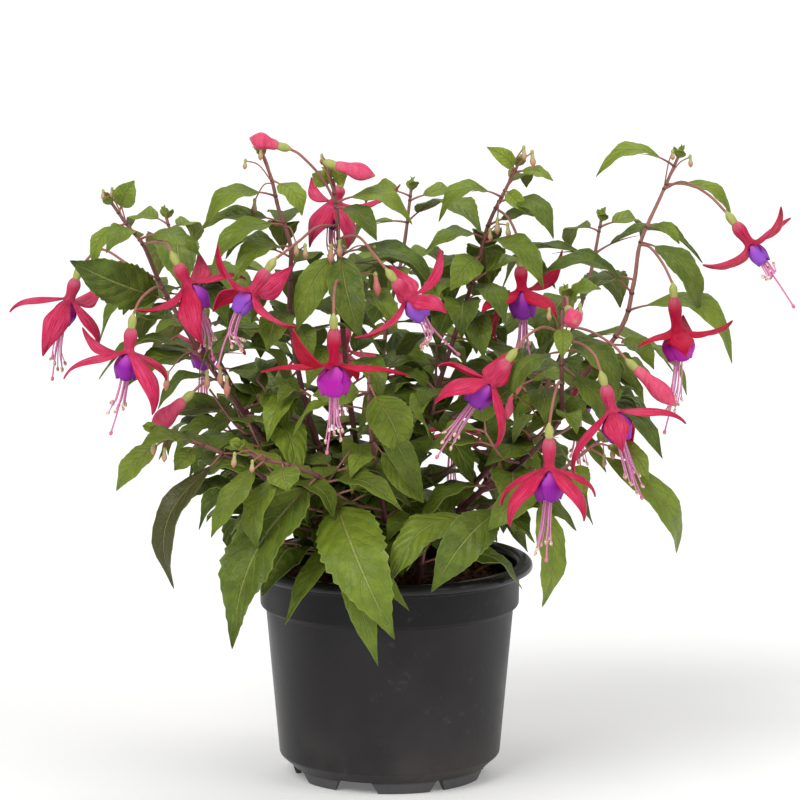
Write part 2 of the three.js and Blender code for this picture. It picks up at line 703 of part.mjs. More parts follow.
const isClear = (body) => {
  const { min, max } = body.boundingBox();
  const box = new THREE.Box3(vec(min), vec(max));
  return placed.every((other) => !other.box.intersectsBox(box) || body.intersect(other.body).isEmpty());
};

const LARGE = [0.2, 0.48, 0.78];
const SMALL = [0.3, 0.68];
const STALK = 7;
const CLEARANCE = 0.8;
const TRIAL_START = 2.2;

// A leaf grown in full, or, for trying its place, fatter all round and clear of its stem's surface.
const fullLeaf = (leaf) => ({
  ...leaf,
  stalk: Math.min(STALK, leaf.root.distanceTo(leaf.tip) * 0.2),
  stalkHalf: 0.6,
  fold: 0.3,
  stations: leaf.width > 17 ? LARGE : SMALL,
  thickness: BLADE,
  start: 0,
});

const trialLeaf = (leaf) => {
  const growth = new Growth();
  const full = fullLeaf(leaf);
  growBlade(growth, {
    ...full,
    width: full.width + CLEARANCE,
    thickness: full.thickness + CLEARANCE,
    start: TRIAL_START / leaf.root.distanceTo(leaf.tip),
  });
  return solid(growth.geometry());
};

// The bends that a leaf may take to stand clear of its neighbours: [turn, lift] in degrees.
const BENDS = [
  [0, 0], [7, 0], [-7, 0], [0, 7], [0, -7], [14, 6], [-14, 6], [14, -8], [-14, -8],
  [24, 0], [-24, 0], [0, 20], [0, -20], [34, 14], [-34, 14], [34, -16], [-34, -16],
];

const bent = (leaf, [turn, lift]) => {
  const reach = leaf.tip.clone().sub(leaf.root);
  const level = new THREE.Vector3(-reach.y, reach.x, 0).normalize();
  reach.applyAxisAngle(level, THREE.MathUtils.degToRad(-lift));
  reach.applyAxisAngle(new THREE.Vector3(0, 0, 1), THREE.MathUtils.degToRad(turn));
  return { ...leaf, tip: leaf.root.clone().add(reach) };
};

// The leaves of a stem that follow the rule: pairs, each a quarter turn on from the last.
const pairedLeaves = (stem, curve, index) => {
  const leaves = [];
  const { low, high, count, reach, turn } = stem.pairs;
  for (let k = 0; k < count; k += 1) {
    const share = shareAt(curve, count > 1 ? low + ((high - low) * k) / (count - 1) : low);
    const root = curve.getPoint(share);
    for (const half of [0, 1]) {
      const item = index * 100 + k * 2 + half;
      const heading = THREE.MathUtils.degToRad(turn + k * 90 + half * 180 + 30 * (draw(item, 1) - 0.5));
      const length = reach * (0.85 + 0.35 * draw(item, 2));
      const out = new THREE.Vector3(Math.cos(heading), Math.sin(heading), 0);
      const tip = root.clone().addScaledVector(out, length * 0.95);
      tip.z += length * (0.02 - 0.55 * draw(item, 3));
      const face = new THREE.Vector3(0, 0, 1).addScaledVector(out, 0.7);
      leaves.push({ root, tip, face, width: length * 0.38, arch: 0.14 + 0.08 * draw(item, 4) });
    }
  }
  return leaves;
};

const placedLeaves = (stem, curve) => stem.leaves.map(([height, tip, width, face, arch]) => (
  { root: curve.getPoint(shareAt(curve, height)), tip: vec(tip), face: vec(face), width, arch }));

// A pedicel with its green ovary, from the stem to the top of a bloom or a bud, as one tube.
const growPedicel = (stem, flower) => {
  const { growth } = stem;
  const top = vec(flower.ovary);
  const axis = vec(flower.hub ?? flower.tip).sub(top).normalize();
  const share = shareAt(stem.curve, flower.from);
  const root = stem.curve.getPoint(share);
  const path = new THREE.CatmullRomCurve3([root, ...flower.via.map(vec), top], false, 'catmullrom', 0.5);
  const panel = findPanel(stem, share, path.getTangent(0));
  let ring = openPanel(stem, panel, share);
  const total = ring.reduce((sum, k) => sum.add(growth.points[k]), new THREE.Vector3());
  const centre = total.multiplyScalar(1 / ring.length);
  let side = growth.points[ring[0]].clone().sub(centre);
  const rings = [0.35, 0.65, 0.9].map((at) => [path.getPoint(at), path.getTangent(at), PEDICEL_RADIUS]);
  const ovary = [[0, PEDICEL_RADIUS], [1.8, OVARY_RADIUS], [OVARY_LENGTH, OVARY_RADIUS * 0.8]];
  for (const [along, radius] of ovary) {
    rings.push([top.clone().addScaledVector(axis, along), axis, radius]);
  }
  for (const [point, tangent, radius] of rings) {
    side = squareTo(side, tangent);
    const next = addRing(growth, point, tangent, side, radius, evenAngles(4));
    joinRings(growth, ring, next);
    ring = next;
  }
  capRing(growth, ring, false);
};

// The tube with its sepals, stamens and style in one body. Four sides of the tube carry the sepals.
const makeSepals = (bloom) => {
  const growth = new Growth();
  const top = vec(bloom.ovary);
  const hub = vec(bloom.hub);
  const axis = hub.clone().sub(top).normalize();
  const from = top.clone().addScaledVector(axis, OVARY_LENGTH + GAP);
  const length = from.distanceTo(hub);
  const zero = squareTo(vec(bloom.sepals[0]), axis);
  const quarter = axis.clone().cross(zero);
  const bearing = (offset) => (
    THREE.MathUtils.euclideanModulo(Math.atan2(offset.dot(quarter), offset.dot(zero)), 2 * Math.PI));
  const offsets = bloom.sepals.map(vec).sort((a, b) => bearing(a) - bearing(b));
  const bearings = offsets.map(bearing);
  const corners = bearings.map((angle, k) => (
    (angle + (k > 0 ? bearings[k - 1] : bearings[3] - 2 * Math.PI)) / 2));
  const profile = [[0, TUBE_TOP_RADIUS], [length * 0.45, TUBE_RADIUS],
    [length - HUB_HALF, TUBE_NECK_RADIUS], [length + HUB_HALF, TUBE_NECK_RADIUS]];
  const rings = profile.map(([along, radius]) => (
    addRing(growth, from.clone().addScaledVector(axis, along), axis, zero, radius * SQUARED, corners)));
  capRing(growth, rings[0], true);
  joinRings(growth, rings[0], rings[1]);
  joinRings(growth, rings[1], rings[2]);
  capRing(growth, rings[3], false);
  offsets.forEach((offset, k) => {
    const next = (k + 1) % 4;
    const flat = squareTo(offset, axis);
    const droop = offset.dot(axis) / offset.length();
    growBlade(growth, {
      root: hub.clone().addScaledVector(flat, TUBE_NECK_RADIUS * 0.9),
      tip: hub.clone().add(offset),
      face: flat.clone().multiplyScalar(0.4).addScaledVector(axis, -1),
      arch: droop > 0 ? 0.1 + 0.18 * droop : -0.1,
      width: SEPAL_WIDTH,
      stalk: 2,
      stalkHalf: 1.8,
      fold: -0.3,
      stations: SMALL,
      thickness: 0.9,
      start: 0,
    }, [rings[2][k], rings[2][next], rings[3][next], rings[3][k]]);
  });
  let body = solid(growth.geometry());
  const mouth = hub.clone().addScaledVector(axis, COROLLA_LENGTH + 4);
  const across = squareTo(new THREE.Vector3(1, 0.3, 0), axis);
  for (const [end, shift] of [[vec(bloom.style), 0], [vec(bloom.stamens), 1], [vec(bloom.stamens), -1]]) {
    const path = new THREE.CatmullRomCurve3([
      hub.clone().addScaledVector(across, shift * 1.1),
      mouth.clone().addScaledVector(across, shift * 1.6),
      hub.clone().add(end).addScaledVector(across, shift * 3),
    ], false, 'catmullrom', 0.5);
    const filament = new Growth();
    const panels = growTube(filament, path, { rootRadius: 0.55, tipRadius: 0.5, steps: 2, sides: 3 });
    closePanels(filament, panels);
    body = body.add(solid(filament.geometry()));
  }
  return body;
};

// The corolla: an open sleeve of overlapping petals round the stamens, with four lobes.
const makeCorolla = (bloom) => {
  const hub = vec(bloom.hub);
  const axis = hub.clone().sub(vec(bloom.ovary)).normalize();
  const radius = COROLLA_RADIUS * bloom.girth;
  const start = HUB_HALF + GAP;
  const end = start + COROLLA_LENGTH * (0.45 + 0.55 * bloom.girth);
  const profile = [[2, start], [2.4, start], [radius, start + (end - start) * 0.6], [radius, end],
    [radius - PETAL_WALL, end], [2, start]];
  const geometry = new THREE.LatheGeometry(profile.map(([r, s]) => new THREE.Vector2(r, s)), 8);
  const position = geometry.attributes.position;
  for (let k = 0; k < position.count; k += 1) {
    if (position.getY(k) > end - 1) {
      const lobe = Math.cos(4 * Math.atan2(position.getX(k), position.getZ(k)));
      position.setY(k, position.getY(k) + lobe);
    }
  }
  geometry.applyQuaternion(new THREE.Quaternion().setFromUnitVectors(new THREE.Vector3(0, 1, 0), axis));
  return solid(geometry.translate(...hub.toArray()));
};

const makeBud = (bud) => {
  const axis = vec(bud.tip).sub(vec(bud.ovary)).normalize();
  const from = vec(bud.ovary).addScaledVector(axis, OVARY_LENGTH + GAP);
  const length = vec(bud.tip).distanceTo(from);
  const profile = [[0, 0], [1.6, 0], [bud.radius, length * 0.45], [bud.radius * 0.7, length * 0.78],
    [0, length]];
  return solid(turned(profile, 6, from, axis));
};

const pot = makePot();
keep(pot);
addMesh('pot', geometryOf(pot), 'pot');

const growStem = (stem) => {
  const growth = new Growth();
  const curve = routeOf(stem, STEM_FOOT);
  const steps = Math.round(stem.route.length * 1.5);
  const panels = growTube(growth, curve, {
    rootRadius: STEM_ROOT_RADIUS, tipRadius: STEM_TIP_RADIUS, steps, sides: STEM_SIDES,
  });
  return { ...stem, growth, curve, steps, panels };
};
const stems = STEMS.map(growStem);
const byName = Object.fromEntries(stems.map((stem) => [stem.name, stem]));

// Each stem's foot stands in a plain hole in the soil, which follows the stem.
let soil = makeSoil();
for (const stem of stems) {
  const hole = new Growth();
  closePanels(hole, growTube(hole, routeOf(stem, STEM_FOOT - GAP), {
    rootRadius: STEM_ROOT_RADIUS + 1.5 * GAP,
    tipRadius: STEM_TIP_RADIUS + 1.5 * GAP,
    steps: stem.steps,
    sides: STEM_SIDES,
  }));
  soil = soil.subtract(solid(hole.geometry()));
}
keep(soil);
addMesh('soil', geometryOf(soil), 'soil');

// Flowers come before the leaves, which then bend clear of them.
BLOOMS.forEach((bloom, index) => {
  growPedicel(byName[bloom.stem], bloom);
  for (const [part, body] of [['sepals', makeSepals(bloom)], ['corolla', makeCorolla(bloom)]]) {
    const name = `bloom_${index + 1}_${part}`;
    keep(body);
    addMesh(name, geometryOf(body), part);
  }
});
BUDS.forEach((bud, index) => {
  growPedicel(byName[bud.stem], bud);
  const name = `bud_${index + 1}`;
  const body = makeBud(bud);
  keep(body);
  addMesh(name, geometryOf(body), 'bud');
});
const closedStem = (stem) => {
  const whole = new Growth();
  whole.points = stem.growth.points;
  whole.faces = [...stem.growth.faces];
  closePanels(whole, stem.panels);
  return whole.geometry();
};
for (const stem of stems) {
  keep(solid(closedStem(stem)));
}

// The hand-placed leaves of every stem stand first, then the pairs fill in round them.
const growLeaf = (stem, leaf) => {
  const share = shareAt(stem.curve, leaf.root.z);
  for (const bend of BENDS) {
    const trial = bent(leaf, bend);
    const panel = findPanel(stem, share, trial.tip.clone().sub(trial.root).normalize());
    const { at, middle } = panelView(stem, panel, share);
    trial.root = at(0.5, middle);
    const body = trialLeaf(trial);
    if (isClear(body)) {
      growBlade(stem.growth, fullLeaf(trial), openPanel(stem, panel, share));
      keep(body);
      return;
    }
  }
};
for (const stem of stems) {
  placedLeaves(stem, stem.curve).forEach((leaf) => growLeaf(stem, leaf));
}
stems.forEach((stem, index) => {
  pairedLeaves(stem, stem.curve, index).forEach((leaf) => growLeaf(stem, leaf));
});
for (const stem of stems) {
  addMesh(stem.name, closedStem(stem), 'leafy');
}

export default group;
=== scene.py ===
# A fuchsia in bloom in a plain plastic pot. Shapes are worked out in millimetres and stored in metres.
import json
import math

import bmesh
import bpy
from mathutils import Matrix, Quaternion, Vector, noise
from mathutils.bvhtree import BVHTree
from mathutils.kdtree import KDTree

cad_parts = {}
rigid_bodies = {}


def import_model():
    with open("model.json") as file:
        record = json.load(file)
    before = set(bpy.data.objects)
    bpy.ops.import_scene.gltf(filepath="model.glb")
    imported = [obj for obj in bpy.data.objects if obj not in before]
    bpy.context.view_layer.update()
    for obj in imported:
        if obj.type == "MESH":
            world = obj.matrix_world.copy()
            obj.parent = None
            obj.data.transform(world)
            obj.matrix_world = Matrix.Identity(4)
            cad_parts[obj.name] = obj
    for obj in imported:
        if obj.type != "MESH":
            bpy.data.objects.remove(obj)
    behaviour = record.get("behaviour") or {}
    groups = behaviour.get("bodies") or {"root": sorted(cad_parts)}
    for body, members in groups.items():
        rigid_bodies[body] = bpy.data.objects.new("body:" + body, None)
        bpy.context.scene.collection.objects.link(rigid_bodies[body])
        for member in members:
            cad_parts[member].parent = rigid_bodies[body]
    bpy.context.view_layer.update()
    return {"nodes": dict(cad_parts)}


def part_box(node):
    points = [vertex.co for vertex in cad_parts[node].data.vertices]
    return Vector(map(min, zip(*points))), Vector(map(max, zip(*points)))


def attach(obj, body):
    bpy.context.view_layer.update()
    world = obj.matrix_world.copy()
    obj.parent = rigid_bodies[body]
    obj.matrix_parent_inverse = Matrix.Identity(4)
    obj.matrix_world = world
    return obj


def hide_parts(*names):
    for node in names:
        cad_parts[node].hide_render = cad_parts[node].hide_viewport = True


for thing in list(bpy.data.objects):
    bpy.data.objects.remove(thing)
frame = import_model()
mm = 0.001
print("frame loaded:", len(frame["nodes"]), "nodes")


def colour(red, green, blue):
    # a screen colour, 0 to 255, as the linear one that the shader wants
    return tuple((c / 255 / 12.92 if c < 11 else ((c / 255 + 0.055) / 1.055) ** 2.4)
                 for c in (red, green, blue)) + (1,)


class Value:
    # a socket to reckon with: each operator adds a Math node
    def __init__(self, finish, socket):
        self.finish = finish
        self.socket = socket

    def maths(self, operation, *terms):
        return self.finish.node("Math", {"operation": operation}, dict(enumerate(terms)))

    def __add__(self, other):
        return self.maths("ADD", self, other)

    def __sub__(self, other):
        return self.maths("SUBTRACT", self, other)

    def __rsub__(self, other):
        return self.maths("SUBTRACT", other, self)

    def __mul__(self, other):
        return self.maths("MULTIPLY", self, other)

    def __mod__(self, other):
        return self.maths("FLOORED_MODULO", self, other)

    def __abs__(self):
        return self.maths("ABSOLUTE", self)

    __radd__ = __add__
    __rmul__ = __mul__


class Finish:
    def __init__(self, name, **constants):
        self.material = bpy.data.materials.new(name)
        self.material.use_nodes = True
        self.tree = self.material.node_tree
        self.shader = self.tree.nodes["Principled BSDF"]
        for socket, value in constants.items():
            self.shader.inputs[socket.replace("_", " ")].default_value = value

    def node(self, kind, settings, sockets, output=0):
        made = self.tree.nodes.new("ShaderNode" + kind)
        for key, value in settings.items():
            setattr(made, key, value)
        for key, value in sockets.items():
            if isinstance(value, Value):
                self.tree.links.new(value.socket, made.inputs[key])
            else:
                made.inputs[key].default_value = value
        return Value(self, made.outputs[output])

    def place(self):
        return self.node("TexCoord", {}, {}, "Object")

    def part(self, vector, axis):
        return self.node("SeparateXYZ", {}, {0: vector}, axis)

    def mapped(self, name):
        # across and along, from the piece's own map
        place = self.node("UVMap", {"uv_map": name}, {})
        return self.part(place, 0), self.part(place, 1)

    def attribute(self, name):
        return self.node("Attribute", {"attribute_name": name}, {}, "Fac")

    def grain(self, where, scale, detail=2.0, roughness=0.5):
        sockets = {"Vector": where, "Scale": scale, "Detail": detail, "Roughness": roughness}
        return self.node("TexNoise", {}, sockets, "Fac")

    def streaks(self, where, scale):
        return self.grain(self.node("Mapping", {}, {"Vector": where, "Scale": scale}), 1, 3)

    def rises(self, value, low, high):
        # 0 below low, 1 above high, smooth between
        return self.node("MapRange", {"interpolation_type": "SMOOTHSTEP"},
                         {"Value": value, "From Min": low, "From Max": high})

    def over(self, base, *coats):
        # colours laid over the base in turn, each by its own share
        for share, tint in coats:
            base = self.node("Mix", {"data_type": "RGBA"}, {0: share, 6: base, 7: tint}, 2)
        return base

    def bump(self, height, distance):
        return self.node("Bump", {}, {"Height": height, "Distance": distance, "Strength": 1.0})

    def feed(self, **links):
        for socket, value in links.items():
            self.tree.links.new(value.socket, self.shader.inputs[socket.replace("_", " ")])
        return self.material


def makePot():
    paintedBandShade, footWearAndHighlight, rimFoot = (0.077, 0.081), (0.0058, 0.0044), (0.0925, 0.0945)
    finish = Finish("blackPolypropylene", Specular_IOR_Level=0.12, Coat_Roughness=0.2)
    where = finish.place()
    height = finish.part(where, 2)
    cloud = finish.grain(where, 28, 4, 0.6)
    fine = finish.grain(where, 900)
    flow = finish.streaks(where, (60, 60, 9))
    scuffs = finish.rises(finish.grain(where, 160, 5, 0.7), 0.56, 0.7) * finish.rises(flow, 0.46, 0.62)
    dust = finish.rises(height, 0.034, 0.0) * finish.rises(cloud, 0.4, 0.65)
    haze = finish.rises(finish.grain(where, 14, 3, 0.6), 0.42, 0.68)
    tint = finish.over(
        colour(42, 40, 41), (cloud * 0.5 + haze * 0.5, colour(55, 53, 54)),
        # painted shade: the band and rim, from about 77 mm up, darker, as in the shade of the rim and of the
        # leaves over it
        (finish.rises(height, *paintedBandShade) * 0.6, colour(22, 21, 22)),
        (scuffs * 0.34, colour(80, 78, 80)), (dust * 0.34, colour(84, 78, 70)),
        # the feet, below about 5 mm, lighter: partly wear, partly painted highlight on the strongly lit foot
        # wall
        (finish.rises(height, *footWearAndHighlight) * 0.5, colour(104, 103, 105)))
    rim = finish.rises(height, *rimFoot)
    rough = 0.28 + cloud * 0.1 + haze * 0.16 + scuffs * 0.1 - rim * 0.04
    relief = finish.bump(fine * 0.5 + flow * 0.8, 0.00012)
    return finish.feed(Base_Color=tint, Roughness=rough, Coat_Weight=rim * 0.3, Normal=relief)


def makePeat():
    finish = Finish("peat", Specular_IOR_Level=0.25)
    where = finish.place()
    crumbs = finish.node("TexVoronoi", {}, {"Vector": where, "Scale": 420})
    cloud = finish.grain(where, 90, 5, 0.65)
    fine = finish.grain(where, 1500, 3, 0.6)
    tint = finish.over(colour(42, 29, 21), (cloud, colour(106, 75, 54)),
                       (finish.rises(fine, 0.62, 0.72) * 0.6, colour(134, 98, 70)),
                       (finish.attribute("tone") * 0.6, colour(120, 76, 46)))
    relief = finish.bump(crumbs + fine * 0.6 + cloud, 0.0012)
    return finish.feed(Base_Color=tint, Roughness=0.86 + fine * 0.12, Normal=relief)


def makeBark():
    # tone: 0 old wood, 1 young shoot, 2 green stalk, 3 ovary
    finish = Finish("bark", Specular_IOR_Level=0.4)
    where = finish.place()
    tone = finish.attribute("tone")
    streak = finish.streaks(where, (900, 900, 160))
    cloud = finish.grain(where, 120, 3)
    young = finish.over(colour(140, 84, 80), (cloud, colour(178, 132, 116)))
    stalk = finish.over(colour(156, 74, 82), (cloud, colour(168, 116, 92)))
    ovary = finish.over(colour(138, 150, 54), (streak, colour(190, 192, 116)))
    tint = finish.over(colour(74, 34, 40), (streak, colour(122, 72, 72)),
                       (finish.rises(tone, 0.2, 0.9), young), (finish.rises(tone, 1.1, 1.9), stalk),
                       (finish.rises(tone, 2.3, 2.8), ovary))
    relief = finish.bump(streak + cloud, 0.0003)
    return finish.feed(Base_Color=tint, Roughness=0.42 + streak * 0.25, Normal=relief)


def makeLeaf(name, under):
    # tone: 0 deep green to 1 bright, below 0 dull; young: 1 at the shoots' ends; quilt: 1 on large leaves
    veinCount = 7.5
    finish = Finish(name, Specular_IOR_Level=0.14 if under else 0.3)
    where = finish.place()
    sideways, along = finish.mapped("leafUv")
    across = abs(sideways * 2 - 1)
    tone, young, quilt = (finish.attribute(layer) for layer in ("tone", "young", "quilt"))
    wobble = finish.grain(where, 150, 3) * 0.8
    phase = (along - across * 0.2 - across * across * 0.06) * veinCount + wobble
    ribs = abs((phase % 1) - 0.5) * 2
    side = finish.rises(ribs, 0.86, 0.97) * finish.rises(across, 1.0, 0.55)
    midrib = finish.rises(across, 0.075, 0.02)
    net = finish.node("TexVoronoi", {"feature": "DISTANCE_TO_EDGE"}, {"Vector": where, "Scale": 520})
    mesh = finish.rises(net, 0.1, 0.02)
    cloud = finish.grain(where, 75, 4, 0.6)
    fine = finish.grain(where, 1400)
    dull = finish.rises(tone, 0.0, -1.0) * 0.9
    if under:
        blade = finish.over(
            colour(92, 106, 42), (tone, colour(126, 140, 64)), (dull, colour(74, 60, 44)),
            (young * 0.6, colour(146, 156, 82)), (side * 0.3 + mesh * 0.08, colour(152, 158, 108)),
            (midrib * 0.7, colour(170, 150, 116)))
    else:
        patches = finish.rises(finish.grain(where, 130, 3, 0.6), 0.38, 0.66)
        rib = finish.over(colour(156, 164, 96), (finish.rises(along, 0.4, 0.0), colour(160, 112, 88)))
        blade = finish.over(
            colour(62, 80, 12), (tone * 0.72 + patches * 0.28, colour(124, 144, 38)),
            (dull, colour(58, 50, 30)), (young * 0.7, colour(140, 158, 50)),
            (side * 0.26 + mesh * 0.06, colour(146, 162, 86)), (midrib * 0.5, rib))
    spots = finish.rises(finish.grain(where, 300), 0.72, 0.78)
    tint = finish.over(
        blade, (spots * 0.18, colour(120, 104, 52)),
        (finish.rises(across, 0.93, 1.0) * 0.4, colour(160, 142, 84) if under else colour(140, 152, 76)))
    pucker = finish.grain(where, 170, 3, 0.55)
    height = pucker * 1.4 - side * 0.3 - midrib * 0.8 - mesh * 0.1 + fine * 0.08 - ribs * (0.14 + quilt * 0.5)
    relief = finish.bump(0 - height if under else height, 0.0007)
    return finish.feed(Base_Color=tint, Roughness=(0.58 if under else 0.34) + cloud * 0.16, Normal=relief)


def makeSepal(name, inner):
    # along is negative on the tube; hue: 0 pink to 1 deep red
    finish = Finish(name, Specular_IOR_Level=0.22)
    where = finish.place()
    across, along = finish.mapped("sepalUv")
    hue = finish.attribute("hue")
    lines = finish.grain(finish.node("CombineXYZ", {}, {0: across * 34, 1: along * 3}), 1, 3)
    cloud = finish.grain(where, 160, 3)
    fine = finish.grain(where, 1500)
    if inner:
        base = finish.over(colour(190, 4, 50), (hue, colour(176, 0, 30)))
        light = finish.over(colour(222, 40, 92), (hue, colour(208, 14, 72)))
    else:
        base = finish.over(colour(206, 14, 78), (hue, colour(188, 0, 44)))
        light = finish.over(colour(236, 104, 146), (hue, colour(216, 22, 84)))
    pale = finish.over(colour(232, 86, 124), (hue, colour(208, 42, 82)))
    tube = finish.rises(along, 0.1, -0.1) * (0.62 - hue * 0.5) + finish.rises(along, -0.38, -0.5) * 0.5
    tint = finish.over(
        # the pale streaks in the light colour: partly the sepal's own streaks, partly painted highlight
        base, (tube * 0.8, pale), (finish.rises(lines + cloud * 0.5, 0.56, 0.98) * 0.66, light),
        (finish.rises(lines, 0.48, 0.28) * 0.55, colour(128, 0, 36)),
        (finish.rises(along, -0.26, -0.46) * (0.3 + cloud * 0.4), colour(228, 128, 148)),
        (finish.rises(along, 0.9, 1.0) * 0.35, colour(196, 96, 92)))
    relief = finish.bump(lines * 0.9 + cloud * 1.2 + fine * 0.25, 0.0006)
    return finish.feed(Base_Color=tint, Roughness=0.28 + cloud * 0.16, Normal=relief)


def makePetal():
    # hue: 0 lilac blue, 0.5 violet, 1 magenta
    finish = Finish("petal", Specular_IOR_Level=0.2)
    where = finish.place()
    across, along = finish.mapped("petalUv")
    hue = finish.attribute("hue")
    fan = finish.grain(finish.node("CombineXYZ", {}, {0: across * 30, 1: along * 2}), 1)
    cloud = finish.grain(where, 240)
    # darker petal margins and lower ends: partly the petals' deeper violet edges, partly painted shade in the
    # gaps between overlapping petals
    edge = finish.rises(abs(across * 2 - 1), 0.8, 1.0) * 0.8 + finish.rises(along, 0.8, 1.0) * 0.3
    tint = finish.over(
        colour(144, 86, 204), (finish.rises(hue, 0.0, 0.5), colour(144, 24, 160)),
        (finish.rises(hue, 0.5, 1.0), colour(184, 16, 160)),
        # lighter towards the hub: partly the petals' paler base, partly painted highlight
        (finish.rises(along, 0.5, 0.0) * 0.5, colour(214, 104, 206)), (edge, colour(78, 4, 112)),
        (finish.rises(fan, 0.45, 0.8) * 0.1, colour(206, 130, 222)))
    relief = finish.bump(fan * 0.5 + cloud * 0.4, 0.0002)
    return finish.feed(Base_Color=tint, Roughness=0.42 + cloud * 0.15, Normal=relief)


def makeStamen():
    # tone: 0 filament, 1 style, 2 anther, 3 stigma
    finish = Finish("stamen", Specular_IOR_Level=0.4)
    tone = finish.attribute("tone")
    cloud = finish.grain(finish.place(), 900)
    style = finish.over(colour(206, 96, 156), (cloud, colour(230, 148, 192)))
    anther = finish.over(colour(186, 116, 104), (finish.rises(cloud, 0.35, 0.65), colour(244, 222, 208)))
    stigma = finish.over(colour(204, 84, 128), (cloud, colour(232, 140, 164)))
    tint = finish.over(colour(208, 104, 164), (cloud, colour(238, 176, 212)),
                       (finish.rises(tone, 0.4, 0.6), style), (finish.rises(tone, 1.4, 1.6), anther),
                       (finish.rises(tone, 2.4, 2.6), stigma))
    return finish.feed(Base_Color=tint, Roughness=0.42 + cloud * 0.2, Normal=finish.bump(cloud, 0.0002))


def makeBudSkin():
    # tone: share of the way down the bud; young: 1 on the smallest, greenest buds
    finish = Finish("budSkin", Specular_IOR_Level=0.22)
    tone, young = finish.attribute("tone"), finish.attribute("young")
    streak = finish.streaks(finish.place(), (700, 700, 240))
    fresh = finish.over(colour(176, 178, 122),
                        (streak * 0.4 + finish.rises(tone, 0.3, 0.9) * 0.6, colour(206, 128, 120)))
    tint = finish.over(colour(196, 22, 66), (streak, colour(232, 104, 140)),
                       (finish.rises(tone, 0.3, 0.0) * 0.4, colour(216, 130, 136)),
                       (finish.rises(tone, 0.86, 1.0) * 0.45, colour(160, 160, 96)), (young, fresh))
    return finish.feed(Base_Color=tint, Roughness=0.36 + streak * 0.18, Normal=finish.bump(streak, 0.0003))


def makeFloor():
    finish = Finish("paleFloor", Specular_IOR_Level=0.1, Emission_Color=(1, 1, 1, 1), Emission_Strength=0.14)
    cloud = finish.grain(finish.place(), 3)
    tint = finish.over(colour(236, 236, 235), (cloud, colour(242, 242, 241)))
    return finish.feed(Base_Color=tint, Roughness=0.7 + cloud * 0.1)


potPlastic, peat, bark = makePot(), makePeat(), makeBark()
leafTop, leafUnder = makeLeaf("leafTop", False), makeLeaf("leafUnder", True)
sepalOuter, sepalInner = makeSepal("sepalOuter", False), makeSepal("sepalInner", True)
petalSkin, stamenSkin, budSkin = makePetal(), makeStamen(), makeBudSkin()
print("materials made")


class Route:
    # an even Catmull-Rom curve through points, as the solids have it
    def __init__(self, points):
        self.points = [Vector(p) for p in points]

    def at(self, share):
        points = self.points
        spans = len(points) - 1
        span = min(int(share * spans), spans - 1)
        t = share * spans - span
        b, c = points[span], points[span + 1]
        a = points[span - 1] if span > 0 else 2 * b - c
        d = points[span + 2] if span + 2 < len(points) else 2 * c - b
        start, end = (c - a) * 0.5, (d - b) * 0.5
        return b + start * t + (3 * c - 3 * b - 2 * start - end) * t ** 2 \
            + (2 * b - 2 * c + start + end) * t ** 3

    def heading(self, share):
        low, high = max(share - 0.001, 0), min(share + 0.001, 1)
        return (self.at(high) - self.at(low)).normalized()

    def shareAt(self, height):
        low, high = 0.0, 1.0
        for _ in range(30):
            middle = (low + high) / 2
            if self.at(middle).z < height:
                low = middle
            else:
                high = middle
        return (low + high) / 2

    def atHeight(self, height):
        return self.at(self.shareAt(height))


def draw(item, k):
    # a repeatable draw, 0 to 1
    return math.sin(item * 12.9898 + k * 78.233) * 43758.5453 % 1


def lerp(a, b, share):
    return a + (b - a) * share


def smooth(value, low, high):
    t = min(max((value - low) / (high - low), 0), 1)
    return t * t * (3 - 2 * t)


def squareTo(side, axis):
    return (side - axis * side.dot(axis)).normalized()


def levelWay(angle):
    return Vector((math.cos(angle), math.sin(angle), 0))


def floatLayers(bm, *names):
    return [bm.verts.layers.float.new(name) for name in names]


def growRow(bm, row, places, closed=False):
    # extrudes a chain of vertices and puts the new chain at the places
    pairs = list(zip(row, row[1:])) + ([(row[-1], row[0])] if closed else [])
    made = bmesh.ops.extrude_edge_only(bm, edges=[bm.edges.get(pair) for pair in pairs])["geom"]
    fresh = {item for item in made if isinstance(item, bmesh.types.BMVert)}
    grown = []
    for vert, place in zip(row, places):
        twin = next(e.other_vert(vert) for e in vert.link_edges if e.other_vert(vert) in fresh)
        twin.co = place
        grown.append(twin)
    return grown


def addRod(bm, stops, sides, layers=(), lobes=None):
    # stops: (point, radius, one value for each layer); the ends are closed
    points = [Vector(stop[0]) for stop in stops]
    ring = bmesh.ops.create_circle(bm, segments=sides, radius=1)["verts"]
    axis = (points[1] - points[0]).normalized()
    side = squareTo(Vector((0.37, 0.21, 0.9)).cross(axis), axis)
    first = None
    for k, stop in enumerate(stops):
        ahead, behind = points[min(k + 1, len(points) - 1)], points[max(k - 1, 0)]
        axis = (ahead - behind).normalized()
        side = squareTo(side, axis)
        other = axis.cross(side)
        places = []
        for n in range(sides):
            angle = 2 * math.pi * n / sides
            reach = stop[1] * (lobes(angle) if lobes else 1)
            places.append(points[k] + side * (reach * math.cos(angle)) + other * (reach * math.sin(angle)))
        if first is None:
            first = ring
            for vert, place in zip(ring, places):
                vert.co = place
        else:
            ring = growRow(bm, ring, places, True)
        for layer, value in zip(layers, stop[2:]):
            for vert in ring:
                vert[layer] = value
    for end in (first, ring):
        bmesh.ops.contextual_create(bm, geom=[bm.edges.get(pair) for pair in zip(end, end[1:] + end[:1])])


def addBead(bm, centre, size, layer, value, detail=1, axis=None):
    # a small lump, longer along its axis if size has two numbers
    made = bmesh.ops.create_icosphere(bm, subdivisions=detail, radius=1)["verts"]
    across, along = size if isinstance(size, tuple) else (size, size)
    turn = Vector((0, 0, 1)).rotation_difference(axis) if axis else Quaternion()
    for vert in made:
        vert.co = Vector(centre) + turn @ Vector((vert.co.x * across, vert.co.y * across, vert.co.z * along))
        vert[layer] = value
    return made


